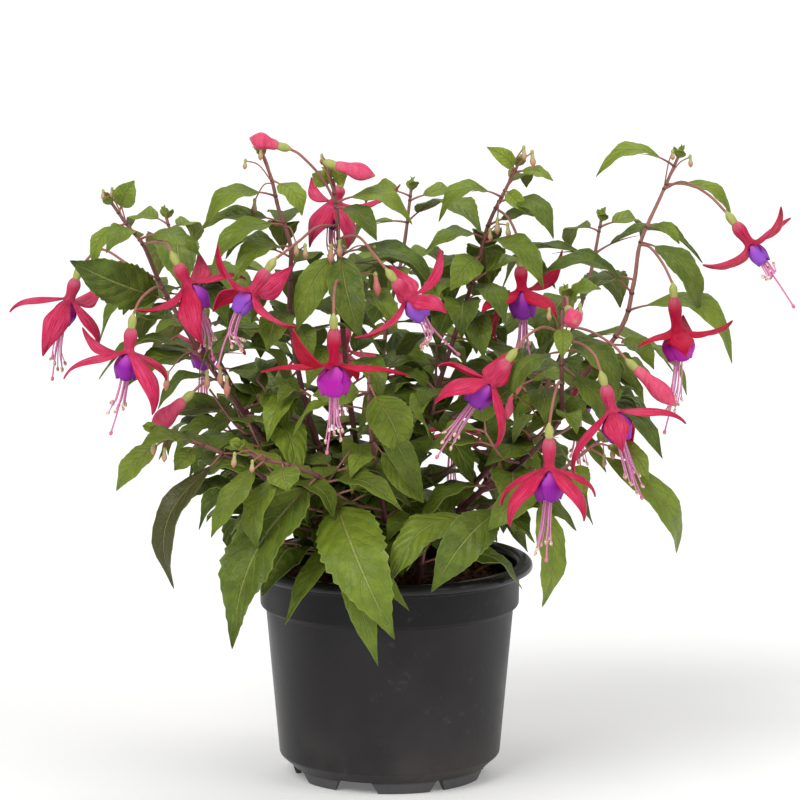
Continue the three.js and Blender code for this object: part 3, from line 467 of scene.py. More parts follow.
def addLathe(bm, outline, steps, rounding=0.0):
    # a closed outline from axis to axis, turned round
    line = [bm.verts.new((radius, 0, z)) for radius, z in outline]
    for pair in zip(line, line[1:]):
        bm.edges.new(pair)
    if rounding:
        bmesh.ops.bevel(bm, geom=line[2:-2], offset=rounding, offset_type="OFFSET", segments=3,
                        profile=0.5, affect="VERTICES", material=-1)
    bmesh.ops.spin(bm, geom=bm.verts[:] + bm.edges[:], cent=(0, 0, 0), axis=(0, 0, 1),
                   angle=2 * math.pi, steps=steps, use_merge=True)
    bmesh.ops.remove_doubles(bm, verts=bm.verts, dist=0.01)
    bmesh.ops.recalc_face_normals(bm, faces=bm.faces)


def addObject(name, data):
    made = bpy.data.objects.new(name, data)
    bpy.context.scene.collection.objects.link(made)
    return made


def makePiece(name, bm, materials, nodes=()):
    bmesh.ops.scale(bm, vec=(mm, mm, mm), verts=bm.verts)
    mesh = bpy.data.meshes.new(name)
    bm.to_mesh(mesh)
    bm.free()
    mesh.shade_smooth()
    for material in materials:
        mesh.materials.append(material)
    piece = addObject(name, mesh)
    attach(piece, "root")
    if nodes:
        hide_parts(*nodes)
    return piece


def addSolidify(piece, thickness, offset=0.0, underside=1):
    shell = piece.modifiers.new("thickness", "SOLIDIFY")
    shell.thickness = thickness * mm
    shell.offset = offset
    shell.use_even_offset = False
    shell.material_offset = underside


def addSubdivision(piece):
    finer = piece.modifiers.new("finer", "SUBSURF")
    finer.levels = finer.render_levels = 1


pot = {
    "rimRadius": 65, "height": 99.6, "bandRadius": 58.9, "bodyTop": 56.2, "bodyBottom": 50.1,
    "footRadius": 42.7, "footHeight": 5.5, "wall": 1.6, "steps": 160,
    "feet": 7, "firstNotch": 249, "wideNotch": 22, "narrowNotch": 9, "notchSlope": 3, "notchReach": (35, 49),
    "drainRadius": 3.5, "drainAt": 33, "rounding": 0.9, "sharpFrom": 38,
}


def potWall():
    foot, high, wall, top = pot["footRadius"], pot["footHeight"], pot["wall"], pot["height"]
    bottom, shoulder, band, rim = pot["bodyBottom"], pot["bodyTop"], pot["bandRadius"], pot["rimRadius"]
    bm = bmesh.new()
    addLathe(bm, [
        (0, high), (foot - 2.5, high), (foot - 2.5, 0), (foot, 0), (foot + 1.8, high),
        (bottom, 10.5), (shoulder, 78), (band - 0.2, 79.3), (band, 93.6), (rim - 2.2, 94.6),
        (rim, 95.6), (rim - 0.2, 98.2), (rim - 2, top), (band - wall + 1.4, top - 0.3),
        (band - wall, top - 2.2), (band - wall, 80.4), (shoulder - wall, 78.8),
        (bottom - wall, 11.4), (foot + 0.5, high + wall), (0, high + wall),
    ], pot["steps"], pot["rounding"])
    return bm


def potCutter():
    # the notches between the feet and the drain holes, as one cutter
    bm = bmesh.new()
    for k in range(pot["feet"]):
        turn = math.radians(pot["firstNotch"] + k * 360 / pot["feet"])
        width = pot["wideNotch"] if k % 2 == 0 else pot["narrowNotch"]
        block = bmesh.ops.create_cube(bm, size=1)["verts"]
        for vert in block:
            upper = vert.co.z > 0
            half = width / 2 - (pot["notchSlope"] if upper else 0)
            vert.co = (pot["notchReach"][vert.co.x > 0], half * (1 if vert.co.y > 0 else -1),
                       pot["footHeight"] if upper else -1)
        where = Matrix.Translation((pot["drainAt"], 0, pot["footHeight"]))
        hole = bmesh.ops.create_cone(bm, cap_ends=True, segments=32, radius1=pot["drainRadius"],
                                     radius2=pot["drainRadius"], depth=6, matrix=where)["verts"]
        bmesh.ops.rotate(bm, cent=(0, 0, 0), matrix=Matrix.Rotation(turn, 3, "Z"), verts=block + hole)
    bmesh.ops.recalc_face_normals(bm, faces=bm.faces)
    return bm


cutter = makePiece("potCutter", potCutter(), [potPlastic])
potPiece = makePiece("pot_shell", potWall(), [potPlastic], ["pot"])
cut = potPiece.modifiers.new("notches", "BOOLEAN")
cut.object = cutter
cut.solver = "EXACT"
cutMesh = bpy.data.meshes.new_from_object(potPiece.evaluated_get(bpy.context.evaluated_depsgraph_get()))
potPiece.modifiers.clear()
potPiece.data = cutMesh
bpy.data.objects.remove(cutter)
potPiece.data.set_sharp_from_angle(angle=math.radians(pot["sharpFrom"]))
print("pot made:", len(potPiece.data.polygons), "faces")

soil = {
    "radius": 57.0, "bottomRadius": 54.2, "level": 89.3, "bottom": 76, "rings": 26, "steps": 128,
    "crumbs": 420, "crumbReach": 54, "crumbSize": 0.6, "crumbMore": 1.5,
    "fibres": 70, "fibreReach": 53, "fibreLength": 6, "fibreMore": 12, "fibreRadius": 0.16,
    "root": [(38, 10, 90.5), (44, 16, 93), (51, 19, 93.6), (56, 17, 92.2)], "rootRadius": 0.75,
}


def soilHeight(x, y):
    spot = Vector((x, y, 0))
    rim = smooth(math.hypot(x, y), 40, 56)
    return soil["level"] + 1.1 * noise.noise(spot * 0.07) + 1.3 * noise.noise(spot * 0.22) \
        + 0.5 * noise.noise(spot * 0.6) - 1.2 * rim


def compost():
    bm = bmesh.new()
    tone, = floatLayers(bm, "tone")
    rings = [(soil["radius"] * k / soil["rings"], soil["level"]) for k in range(soil["rings"] + 1)]
    addLathe(bm, rings + [(soil["bottomRadius"], soil["bottom"]), (0, soil["bottom"])], soil["steps"])
    for vert in bm.verts:
        if vert.co.z > soil["level"] - 1:
            vert.co.z = soilHeight(vert.co.x, vert.co.y)
    for k in range(soil["crumbs"]):
        radius = soil["crumbReach"] * math.sqrt(draw(k, 11))
        angle = 2 * math.pi * draw(k, 12)
        x, y = radius * math.cos(angle), radius * math.sin(angle)
        size = soil["crumbSize"] + soil["crumbMore"] * draw(k, 13) ** 2
        crumb = addBead(bm, (x, y, soilHeight(x, y) + size * 0.25), size, tone, draw(k, 14) * 0.7)
        for n, vert in enumerate(crumb):
            vert.co += Vector([draw(k, n + shift) - 0.5 for shift in (20, 40, 60)]) * size * 0.5
    for k in range(soil["fibres"]):
        radius = soil["fibreReach"] * math.sqrt(draw(k, 91))
        angle = 2 * math.pi * draw(k, 92)
        heading = 2 * math.pi * draw(k, 93)
        length = soil["fibreLength"] + soil["fibreMore"] * draw(k, 94)
        stops = []
        for n in range(7):
            share = n / 6 - 0.5
            bend = heading + share * 2.2 * (draw(k, 95) - 0.5)
            x = radius * math.cos(angle) * 0.9 + math.cos(bend) * length * share
            y = radius * math.sin(angle) * 0.9 + math.sin(bend) * length * share
            lift = 0.4 + 1.6 * draw(k, 96) * (1 - 4 * share * share)
            thick = soil["fibreRadius"] + 0.1 * draw(k, 97)
            stops.append(((x, y, soilHeight(x, y) + lift), thick, 0.8 + 0.2 * draw(k, 98)))
        addRod(bm, stops, 5, [tone])
    root = Route(soil["root"])
    addRod(bm, [(root.at(n / 10), soil["rootRadius"] - 0.035 * n, 1) for n in range(11)], 8, [tone])
    return bm


soilPiece = makePiece("compost", compost(), [peat], ["soil"])
print("compost made:", len(soilPiece.data.polygons), "faces")

# where the plant's parts are: the same values as the solids; first the ways that a leaf's upper face looks
up = (0, -0.45, 1)
front = (0, -1, 0.35)
frontLeft = (-0.7, -1, 0.4)
frontRight = (0.7, -1, 0.4)

# stem: its route; its leaves (height of the root, tip, width, the way it looks, arch);
# its pairs of leaves (lowest, highest, how many, reach, turn)
stems = {
    "stem_left_low": (
        [(-26, -16, 90), (-33, -34, 118), (-46, -48, 137), (-60, -53, 150), (-80, -56, 161), (-94, -60, 166),
         (-100, -62, 169)],
        [(167, (-121, -60, 142), 12, frontLeft, 0.12), (162, (-109, -78, 166), 13, up, 0.1),
         (163, (-95, -64, 152), 9, front, 0.1), (158, (-97, -66, 98), 14, frontLeft, 0.18)],
        (128, 158, 2, 36, 60),
    ),
    "stem_left_upper": (
        [(-20, 6, 90), (-27, 0, 112), (-40, -8, 136), (-63, -15, 166), (-85, -22, 199), (-101, -28, 228),
         (-109, -30, 247), (-116, -30, 256), (-123, -30, 266)],
        [(262, (-113, -34, 277), 12, front, 0.05), (257, (-131, -42, 239), 9, frontLeft, 0.25),
         (248, (-138, -46, 241), 14, up, 0.2), (250, (-84, -36, 240), 13, up, 0.24),
         (222, (-141, -48, 243), 21, frontLeft, 0.08)],
        (140, 224, 4, 42, 20),
    ),
    "stem_left_centre": (
        [(-10, -4, 90), (-17, -10, 112), (-27, -15, 139), (-38, -22, 176), (-44, -28, 213), (-44, -30, 233),
         (-44, -32, 248), (-49, -34, 264), (-52, -34, 277), (-56, -32, 288)],
        [(270, (-82, -44, 257), 13, up, 0.26), (277, (-38, -46, 263), 12, frontRight, 0.16),
         (258, (-87, -30, 252), 12, up, 0.16), (257, (-79, -54, 241), 14, up, 0.2),
         (247, (-69, -56, 235), 14, up, 0.16)],
        (128, 232, 5, 40, 75),
    ),
    "stem_centre": (
        [(0, 4, 90), (-6, -1, 112), (-12, -8, 137), (-19, -18, 185), (-22, -25, 233), (-23, -28, 258),
         (-24, -28, 267), (-25, -28, 277)],
        [(258, (-59, -44, 241), 13, up, 0.22), (266, (11, -36, 258), 12, up, 0.24),
         (264, (-5, -46, 252), 12, up, 0.2), (246, (-9, -54, 209), 16, front, 0.14),
         (246, (-41, -50, 212), 14, front, 0.14), (274, (-34, -31, 279), 8, front, 0.1),
         (275, (-18, -34, 281), 8, front, 0.1), (243, (22, -32, 226), 13, up, 0.24)],
        (124, 238, 5, 40, 10),
    ),
    "stem_right_centre": (
        [(14, 8, 90), (11, 4, 112), (11, 0, 140), (23, -5, 183), (38, -12, 231), (44, -15, 254),
         (52, -16, 271), (57, -16, 281)],
        [(279, (43, -26, 291), 8, front, 0.2), (270, (62, -32, 262), 8, front, 0.16),
         (278, (73, -20, 275), 8, up, 0.16), (267, (21, -28, 258), 12, up, 0.28),
         (265, (76, -28, 248), 12, up, 0.24), (254, (72, -10, 255), 9, up, 0.16),
         (248, (16, -30, 245), 10, up, 0.2), (246, (73, -34, 226), 14, up, 0.24),
         (240, (27, -36, 228), 14, front, 0.16), (228, (60, -42, 221), 12, up, 0.12)],
        (126, 228, 5, 42, 40),
    ),
    "stem_right_tall": (
        [(28, 6, 90), (30, 4, 108), (36, 0, 131), (72, -8, 169), (102, -15, 205), (109, -18, 228),
         (112, -18, 247), (121, -18, 268), (129, -16, 286)],
        [(281, (91, -26, 278), 11, up, 0.24), (273, (153, -22, 258), 9, up, 0.2),
         (254, (129, -30, 248), 8, up, 0.16), (247, (139, -34, 217), 14, frontRight, 0.26),
         (224, (67, -28, 235), 14, up, 0.2), (216, (148, -38, 189), 15, up, 0.3),
         (204, (118, -36, 193), 12, up, 0.1), (196, (110, -46, 184), 12, up, 0.12)],
        (134, 200, 4, 40, 65),
    ),
    "stem_right_vertical": (
        [(24, -12, 90), (26, -18, 108), (34, -30, 130), (62, -48, 156), (75, -55, 173), (76, -58, 187),
         (76, -58, 200), (76, -58, 211), (76, -57, 220), (77, -56, 228)],
        [(223, (93, -62, 233), 13, up, 0.12), (216, (72, -72, 202), 9, front, 0.12),
         (210, (101, -74, 188), 15, frontRight, 0.16), (198, (98, -62, 170), 12, frontRight, 0.12),
         (176, (88, -62, 184), 9, front, 0.1)],
        (140, 204, 3, 34, 30),
    ),
    "stem_front_centre": (
        [(2, -14, 90), (1, -26, 106), (-2, -40, 125), (-5, -52, 148), (-8, -58, 166), (-9, -59, 180),
         (-9, -58, 194)],
        [(190, (6, -70, 159), 20, front, 0.1), (182, (17, -74, 143), 12, front, 0.12),
         (164, (11, -72, 137), 14, front, 0.1), (186, (-34, -66, 186), 13, frontLeft, 0.14)],
        (126, 178, 3, 32, 0),
    ),
    "stem_front_left": (
        [(-14, -26, 90), (-16, -33, 104), (-18, -41, 116), (-22, -50, 129), (-28, -62, 146), (-38, -73, 154),
         (-47, -79, 158), (-57, -83, 161), (-64, -85, 166)],
        [(160, (-78, -100, 129), 13, frontLeft, 0.12), (157, (-58, -88, 119), 14, frontLeft, 0.16),
         (150, (-70, -106, 84), 30, frontLeft, 0.12), (146, (6, -88, 139), 14, up, 0.16),
         (138, (2, -110, 86), 29, front, 0.12), (110, (-46, -84, 87), 12, up, 0.2),
         (117, (-5, -88, 69), 14, front, 0.14), (127, (9, -84, 93), 10, front, 0.12),
         (158, (-44, -92, 148), 15, front, 0.1)],
        (128, 150, 1, 30, 100),
    ),
    "stem_front_right": (
        [(12, -28, 90), (14, -36, 106), (20, -46, 118), (41, -65, 133), (58, -73, 142), (75, -76, 154),
         (93, -74, 168)],
        [(132, (-1, -92, 107), 19, up, 0.16), (138, (18, -102, 105), 19, front, 0.16),
         (150, (38, -80, 130), 14, front, 0.1), (146, (68, -84, 94), 15, frontRight, 0.14),
         (164, (129, -64, 114), 14, frontRight, 0.2), (158, (86, -92, 146), 10, front, 0.1),
         (166, (116, -86, 152), 12, up, 0.16)],
        (124, 148, 1, 32, 60),
    ),
    "stem_back_left": (
        [(-24, 22, 90), (-32, 30, 110), (-58, 50, 145), (-82, 68, 185), (-96, 80, 218), (-104, 88, 244)],
        [(240, (-122, 106, 236), 13, up, 0.2), (238, (-92, 112, 226), 12, up, 0.2)],
        (128, 228, 6, 46, 15),
    ),
    "stem_back_centre": (
        [(0, 26, 90), (-1, 36, 110), (-4, 60, 150), (-2, 80, 190), (6, 92, 226), (10, 98, 256)],
        [(252, (-12, 112, 246), 12, up, 0.2), (250, (34, 112, 244), 12, up, 0.2)],
        (126, 240, 6, 46, 55),
    ),
    "stem_back_right": (
        [(26, 24, 90), (33, 32, 110), (56, 50, 145), (80, 64, 184), (92, 74, 216), (98, 80, 244)],
        [(240, (118, 98, 232), 12, up, 0.2), (238, (84, 104, 226), 12, up, 0.2)],
        (128, 228, 6, 46, 80),
    ),
}

# stem, height, way of the stalk, ovary, hub; tips of the sepals; ends of the stamens and style; girth,
# hue of the petals (0 lilac blue, 0.5 violet, 1 magenta) and of the sepals (0 pink, 1 deep red)
bloomRows = [
    ("stem_left_upper", 232, [(-116, -14, 236), (-130, 8, 240)], (-140, 15, 231), (-145, 15, 216),
     [(-29, 2, -6), (-12, -17, -25), (14, -8, -22), (14, 20, 4)], (-6, 0, -31), (-8, 0, -36),
     0.7, (0.5, 0.3)),
    ("stem_left_upper", 228, [(-104, -48, 231), (-109, -68, 229)], (-112, -75, 223), (-114, -75, 207),
     [(-22, 18, 8), (-30, -8, -11), (11, -12, -28), (17, 15, -16)], (-6, 0, -27), (-8, 0, -36),
     0.76, (0.5, 0.3)),
    ("stem_left_upper", 248, [(-102, -36, 250), (-98, -46, 250)], (-96, -50, 247), (-89, -50, 233),
     [(-23, -13, -10), (8, -17, -26), (4, 26, 11), (27, 6, 2)], (9, 0, -28), (11, 0, -33),
     0.86, (0.35, 0.6)),
    ("stem_centre", 256, [(-32, -40, 257), (-40, -58, 253)], (-50, -70, 247), (-60, -70, 233),
     [(-15, -14, 23), (20, -16, -14), (-19, 14, -12), (18, 18, 9)], (-7, 0, -25), (-15, 0, -33),
     0.62, (0.15, 0.3)),
    ("stem_centre", 274, [(-23, -12, 280), (-21, 2, 279)], (-21, 8, 274), (-24, 8, 262),
     [(30, -3, 8), (-13, -16, -20), (6, -20, -20), (-12, 23, 8)], (0, 0, -24), (0, 0, -30),
     0.8, (0.6, 0.25)),
    ("stem_centre", 226, [(-23, -60, 236), (-24, -90, 234)], (-24, -100, 227), (-24, -100, 206),
     [(-18, -22, 19), (-32, 0, -5), (33, -5, -6), (11, 25, -12)], (0, 0, -34), (-3, 0, -39),
     1.0, (0.85, 1.0)),
    ("stem_centre", 250, [(-14, -48, 254), (-7, -66, 249)], (-1, -75, 243), (8, -75, 231),
     [(15, 14, 20), (-24, -10, -17), (18, -20, -4), (-8, 25, 11)], (9, 0, -20), (22, 0, -25),
     0.68, (0.0, 0.35)),
    ("stem_right_vertical", 212, [(68, -70, 217), (60, -88, 216)], (55, -95, 211), (44, -95, 197),
     [(-24, 16, 5), (-26, -14, -8), (2, -12, -29), (12, 22, 12)], (-19, 0, -28), (-23, 0, -33),
     0.82, (0.35, 0.5)),
    ("stem_right_centre", 262, [(53, -19, 258), (57, -24, 250)], (58, -25, 243), (59, -25, 227),
     [(-19, -18, -8), (19, 14, 16), (16, -20, -10), (-12, 6, -26)], (0, 0, -27), (5, 0, -36),
     0.85, (0.35, 1.0)),
    ("stem_right_vertical", 190, [(74, -80, 194), (71, -108, 191)], (69, -118, 182), (69, -118, 163),
     [(-22, 8, -19), (-18, -12, -25), (22, 10, -15), (16, -14, -22)], (-3, 0, -36), (-1, 0, -40),
     0.96, (0.55, 0.55)),
    ("stem_right_vertical", 206, [(82, -74, 211), (89, -88, 208)], (92, -95, 201), (97, -95, 184),
     [(-18, -8, -28), (34, -2, -5), (4, -26, -14), (10, 16, -24)], (10, 0, -34), (13, 0, -38),
     0.9, (0.4, 0.4)),
    ("stem_right_tall", 246, [(116, -28, 246), (121, -44, 241)], (125, -50, 233), (127, -50, 213),
     [(25, -8, 5), (-18, -18, -6), (3, -28, -8), (4, 27, 2)], (-2, 0, -36), (-5, 0, -46),
     0.96, (0.9, 1.0)),
    ("stem_right_tall", 271, [(130, -32, 276), (140, -50, 273)], (148, -60, 266), (158, -64, 253),
     [(13, -15, 19), (19, 8, 10), (-22, -12, -8), (-17, 14, -13)], (9, -3, -14), (19, -3, -27),
     0.52, (0.15, 0.5)),
    ("stem_back_left", 205, [(-88, 88, 212), (-86, 97, 208)], (-86, 100, 200), (-87, 102, 183),
     [(-20, 20, 5), (-22, -18, -9), (20, 21, -10), (18, -20, 4)], (-1, 2, -34), (-2, 3, -40),
     0.85, (0.5, 0.5)),
    ("stem_back_centre", 200, [(-6, 96, 206), (-14, 104, 203)], (-20, 107, 195), (-22, 108, 178),
     [(-28, 6, -10), (-4, 27, 8), (28, 2, -8), (4, -25, -10)], (-1, 2, -34), (0, 3, -40),
     0.8, (0.7, 0.6)),
    ("stem_back_right", 182, [(86, 80, 188), (88, 92, 184)], (88, 98, 176), (88, 100, 159),
     [(22, 18, -8), (-18, 22, 4), (-21, -17, -12), (18, -20, 6)], (1, 2, -34), (2, 3, -40),
     0.85, (0.4, 0.4)),
    ("stem_back_right", 160, [(54, 78, 169), (41, 94, 166)], (34, 100, 158), (31, 103, 141),
     [(-20, 21, -9), (20, 21, -6), (21, -20, -9), (-20, -19, 2)], (-1, 2, -34), (-2, 3, -40),
     0.8, (0.6, 0.7)),
]
# the same for the closed buds, up to the tip, with the radius
budRows = [
    ("stem_centre", 266, [(-30, -32, 278), (-39, -34, 288)], (-44, -34, 291), (-62, -35, 296), 4),
    ("stem_left_upper", 182, [(-76, -34, 188), (-83, -42, 187)], (-87, -46, 184), (-106, -50, 167), 4.6),
    ("stem_right_vertical", 216, [(88, -62, 214), (98, -70, 209)], (104, -74, 203), (126, -78, 183), 4.2),
    ("stem_centre", 270, [(-28, -33, 282), (-30, -38, 286)], (-29, -40, 286), (-6, -42, 280), 4),
    ("stem_right_vertical", 224, [(77, -62, 229), (78, -68, 229)], (78, -72, 226), (81, -90, 222), 4),
]
bloomKeys = ("stem", "from", "via", "ovary", "hub", "sepals", "stamens", "style", "girth", "hues")
blooms = [dict(zip(bloomKeys, row)) for row in bloomRows]
buds = [dict(zip(("stem", "from", "via", "ovary", "tip", "radius"), row)) for row in budRows]

stemSizes = {
    "footHeight": 76, "rootRadius": 1.75, "tipRadius": 0.7, "sides": 10, "swelling": 0.1, "freshness": 0.55,
    "stalk": 7, "stalkRoot": 0.62, "stalkEnd": 0.42, "pedicel": 0.62, "palest": "stem_right_tall",
    "knotWide": 1.32, "knotLong": 1.1, "knotGap": 1.5,
    "ovary": [(-0.2, 0.75), (0.6, 1.35), (1.6, 1.85), (3.0, 2.0), (4.4, 1.85), (5.4, 1.7), (6.2, 1.5)],
}
leafSizes = {
    "thickness": 0.34, "fold": 0.3, "rows": 20, "columns": 6, "largeRows": 30, "largeColumns": 8,
    "largeFrom": 17, "tooth": 0.065, "wave": 0.065, "twist": 22, "sweep": 0.1, "sag": 0.05, "sagMore": 0.13,
    "pairWidth": 0.38, "darkLeaf": 63, "darkTone": -0.9,
    # the turns and lifts, in degrees, that a solid's leaf may have from its plan
    "bends": [(0, 0), (7, 0), (-7, 0), (0, 7), (0, -7), (14, 6), (-14, 6), (14, -8), (-14, -8),
              (24, 0), (-24, 0), (0, 20), (0, -20), (34, 14), (-34, 14), (34, -16), (-34, -16)],
    # how far a leaf's tip lies from its solid's nearest vertex
    "tipGap": 0.3, "tipSlack": 0.04,
}
# the bark's tone on each part; two numbers are for its foot and its end
barkTones = {"old": 0.0, "knot": 0.15, "shoot": (0.6, 1.2), "pedicel": (1.2, 1.7), "stalk": 1.5,
             "budStalk": 1.6, "ovary": 3}
stemRoutes = {}
for name, (points, leaves, pairs) in stems.items():
    stemRoutes[name] = Route([(*points[0][:2], stemSizes["footHeight"]), *points])


class Blade:
    # the surface of a leaf: across runs from -1 to 1, along from 0 at its stalk to 1 at its tip
    def __init__(self, root, tip, width, face, arch, item, young=0.0, tone=None):
        self.root, self.tip, self.width, self.item = Vector(root), Vector(tip), width, item
        self.length = (self.tip - self.root).length
        chord = self.tip - self.root
        self.side = chord.cross(Vector(face)).normalized()
        rise = self.side.cross(chord).normalized()
        self.control = (self.root + self.tip) / 2 + rise * (2 * arch * self.length)
        self.start = min(stemSizes["stalk"], 0.2 * self.length) / self.length
        self.young = young
        self.tone = draw(item, 5) if tone is None else tone
        self.twist = math.radians(leafSizes["twist"]) * (draw(item, 6) - 0.5)
        self.fold = leafSizes["fold"] * (0.3 + 1.3 * draw(item, 7))
        self.widest = lerp(0.76, 0.58, smooth(width, 18, 26)) + 0.12 * draw(item, 8)
        self.sweep = leafSizes["sweep"] * (draw(item, 15) - 0.5)
        self.sag = leafSizes["sag"] + leafSizes["sagMore"] * draw(item, 16)

    def spine(self, share):
        return self.root * (1 - share) ** 2 + self.control * (2 * share * (1 - share)) \
            + self.tip * share ** 2

    def heading(self, share):
        return ((self.control - self.root) * (1 - share) + (self.tip - self.control) * share).normalized()

    def half(self, along):
        rounded = math.sin(math.pi * min(max(along, 0.0), 1.0) ** self.widest)
        drawnOut = 1 - 0.34 * smooth(along, 0.72, 0.96)
        return self.width / 2 * rounded ** 0.8 * drawnOut

    def at(self, across, along, teeth=0.0):
        share = self.start + (1 - self.start) * along
        heading = self.heading(share)
        side = Quaternion(heading, self.twist * (along - 0.3)) @ self.side
        normal = side.cross(heading).normalized()
        half = max(self.half(along), stemSizes["stalkEnd"] * (1 - along))
        reach = abs(across)
        half *= 1 + teeth * reach ** 6
        wave = math.sin(along * 17 + self.item * 1.7 + (2.2 if across > 0 else 0))
        lift = half * (reach ** 1.15 * math.sin(self.fold) - 0.16 * reach ** 3)
        lift += self.width * leafSizes["wave"] * wave * reach ** 2 * math.sin(math.pi * along)
        droop = max(along - 0.65, 0) ** 2 * 2
        lift += self.sag * self.length * (0.5 * math.sin(math.pi * along) ** 2 - droop)
        sideways = across * half * math.cos(self.fold) + self.sweep * self.length * math.sin(math.pi * along)
        return self.spine(share) + side * sideways + normal * lift


def bladeMesh(blade, rows=None, columns=None):
    large = blade.width > leafSizes["largeFrom"]
    rows = rows or leafSizes["largeRows" if large else "rows"]
    columns = columns or leafSizes["largeColumns" if large else "columns"]
    bm = bmesh.new()
    bm.loops.layers.uv.new("leafUv")
    tone, young, quilt = floatLayers(bm, "tone", "young", "quilt")
    made = bmesh.ops.create_grid(bm, x_segments=columns, y_segments=rows, size=1, calc_uvs=True)["verts"]
    for vert in made:
        across, along = vert.co.x, (vert.co.y + 1) / 2
        row = round(along * rows)
        tooth = leafSizes["tooth"] * (1 if row % 2 else -0.6) if 1 < row < rows - 1 else 0
        tooth *= (0.3 + 1.2 * draw(blade.item + row, 20)) * lerp(0.4, 1, smooth(blade.width, 14, 28))
        along += 0.35 / rows if row % 2 and abs(across) > 0.99 and 0 < row < rows else 0
        vert.co = blade.at(across, along, tooth)
        vert[tone] = blade.tone
        vert[young] = blade.young
        vert[quilt] = smooth(blade.width, 13, 22)
    bmesh.ops.remove_doubles(bm, verts=made, dist=0.03)
    return bm


def joinInto(target, part):
    # adds one bmesh to another through a mesh, with its layers
    carrier = bpy.data.meshes.new("carrier")
    part.to_mesh(carrier)
    part.free()
    target.from_mesh(carrier)
    bpy.data.meshes.remove(carrier)


taken = []      # (box, tree) of everything that an added leaf keeps clear of
flowerSpots = [Vector(bloom["hub"]) for bloom in blooms] + [Vector(bud["tip"]) for bud in buds]
for name in frame["nodes"]:
    if name.startswith(("bloom", "bud", "pot")):
        mesh = frame["nodes"][name].data
        faces = [tuple(p.vertices) for p in mesh.polygons]
        tree = BVHTree.FromPolygons([v.co / mm for v in mesh.vertices], faces)
        low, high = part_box(name)
        taken.append(((low / mm, high / mm), tree))


def boxOf(bm):
    return [Vector(map(pick, zip(*(v.co for v in bm.verts)))) for pick in (min, max)]


def boxesMeet(a, b):
    return all(a[0][k] < b[1][k] and b[0][k] < a[1][k] for k in range(3))


def keepClear(bm):
    taken.append((boxOf(bm), BVHTree.FromBMesh(bm)))


def isClear(bm):
    box = boxOf(bm)
    near = [tree for other, tree in taken if boxesMeet(box, other)]
    if not near:
        return True
    own = BVHTree.FromBMesh(bm)
    return not any(own.overlap(tree) for tree in near)


def hidesFlower(blade):
    # whether an added leaf would hang in front of a flower
    for share in (0.35, 0.7, 1.0):
        point = blade.spine(share)
        for spot in flowerSpots:
            gap = Vector((point.x - spot.x, point.z - spot.z + shoots["flowerDrop"]))
            if gap.length < shoots["flowerReach"] and point.y < spot.y + shoots["flowerDepth"]:
                return True
    return False


def bentTip(root, tip, turn, lift):
    reach = tip - root
    level = Vector((-reach.y, reach.x, 0)).normalized()
    reach = Quaternion(level, math.radians(-lift)) @ reach
    return root + Quaternion((0, 0, 1), math.radians(turn)) @ reach


def plannedLeaves(name, index):
    # the leaves of the solids, each bent as its solid was
    route = stemRoutes[name]
    mesh = frame["nodes"][name].data
    points = KDTree(len(mesh.vertices))
    for k, vert in enumerate(mesh.vertices):
        points.insert(vert.co / mm, k)
    points.balance()
    leaves, (lowest, highest, count, reach, turned) = stems[name][1:]
    wanted = [(route.atHeight(height), Vector(tip), width, face, arch, index * 100 + 60 + k)
              for k, (height, tip, width, face, arch) in enumerate(leaves)]
    for k in range(count):
        root = route.atHeight(lowest + (highest - lowest) / max(count - 1, 1) * k)
        for half in (0, 1):
            item = index * 100 + k * 2 + half
            heading = math.radians(turned + k * 90 + half * 180 + 30 * (draw(item, 1) - 0.5))
            length = reach * (0.85 + 0.35 * draw(item, 2))
            out = levelWay(heading)
            tip = root + out * (0.95 * length) + Vector((0, 0, length * (0.02 - 0.55 * draw(item, 3))))
            wanted.append((root, tip, length * leafSizes["pairWidth"], Vector((0, 0, 1)) + out * 0.7,
                           0.14 + 0.08 * draw(item, 4), item))
    blades = []
    top = route.points[-1].z
    for root, tip, width, face, arch, item in wanted:
        for turn, lift in leafSizes["bends"]:
            place = bentTip(root, tip, turn, lift)
            if abs(points.find(place)[2] - leafSizes["tipGap"]) < leafSizes["tipSlack"]:
                young = smooth(root.z, top - 22, top + 4) * smooth(width, 16, 9)
                dark = leafSizes["darkTone"] if item == leafSizes["darkLeaf"] else None
                blades.append(Blade(root, place, width, face, arch, item, young, dark))
                break
        else:
            print("no solid for leaf", item, "of", name)
    return blades


def addStalk(bm, blade, tone):
    # from inside the stem to just under the blade, where it runs out into the midrib
    end = blade.start + (1 - blade.start) * 0.3
    stops = []
    for k in range(9):
        share = end * k / 8
        past = max(share - blade.start, 0) / (end - blade.start)
        radius = lerp(stemSizes["stalkRoot"], stemSizes["stalkEnd"], min(share / blade.start, 1))
        radius *= 1 - 0.75 * past
        drop = blade.side.cross(blade.heading(share)) * (-0.25 * min(past * 4, 1))
        stops.append((blade.spine(share) + drop, radius, barkTones["stalk"]))
    addRod(bm, stops, 6, [tone])


def addStem(bm, route, tone, count, rootRadius, tipRadius, old, fresh):
    stops = []
    for k in range(count + 1):
        share = k / count
        knot = 1 + stemSizes["swelling"] * max(math.cos(2 * math.pi * share * count / 6), 0) ** 8
        radius = lerp(rootRadius, tipRadius, share ** 0.8) * knot
        stops.append((route.at(share), radius, lerp(old, fresh, smooth(share, 0.1, 0.75))))
    addRod(bm, stops, stemSizes["sides"], [tone])


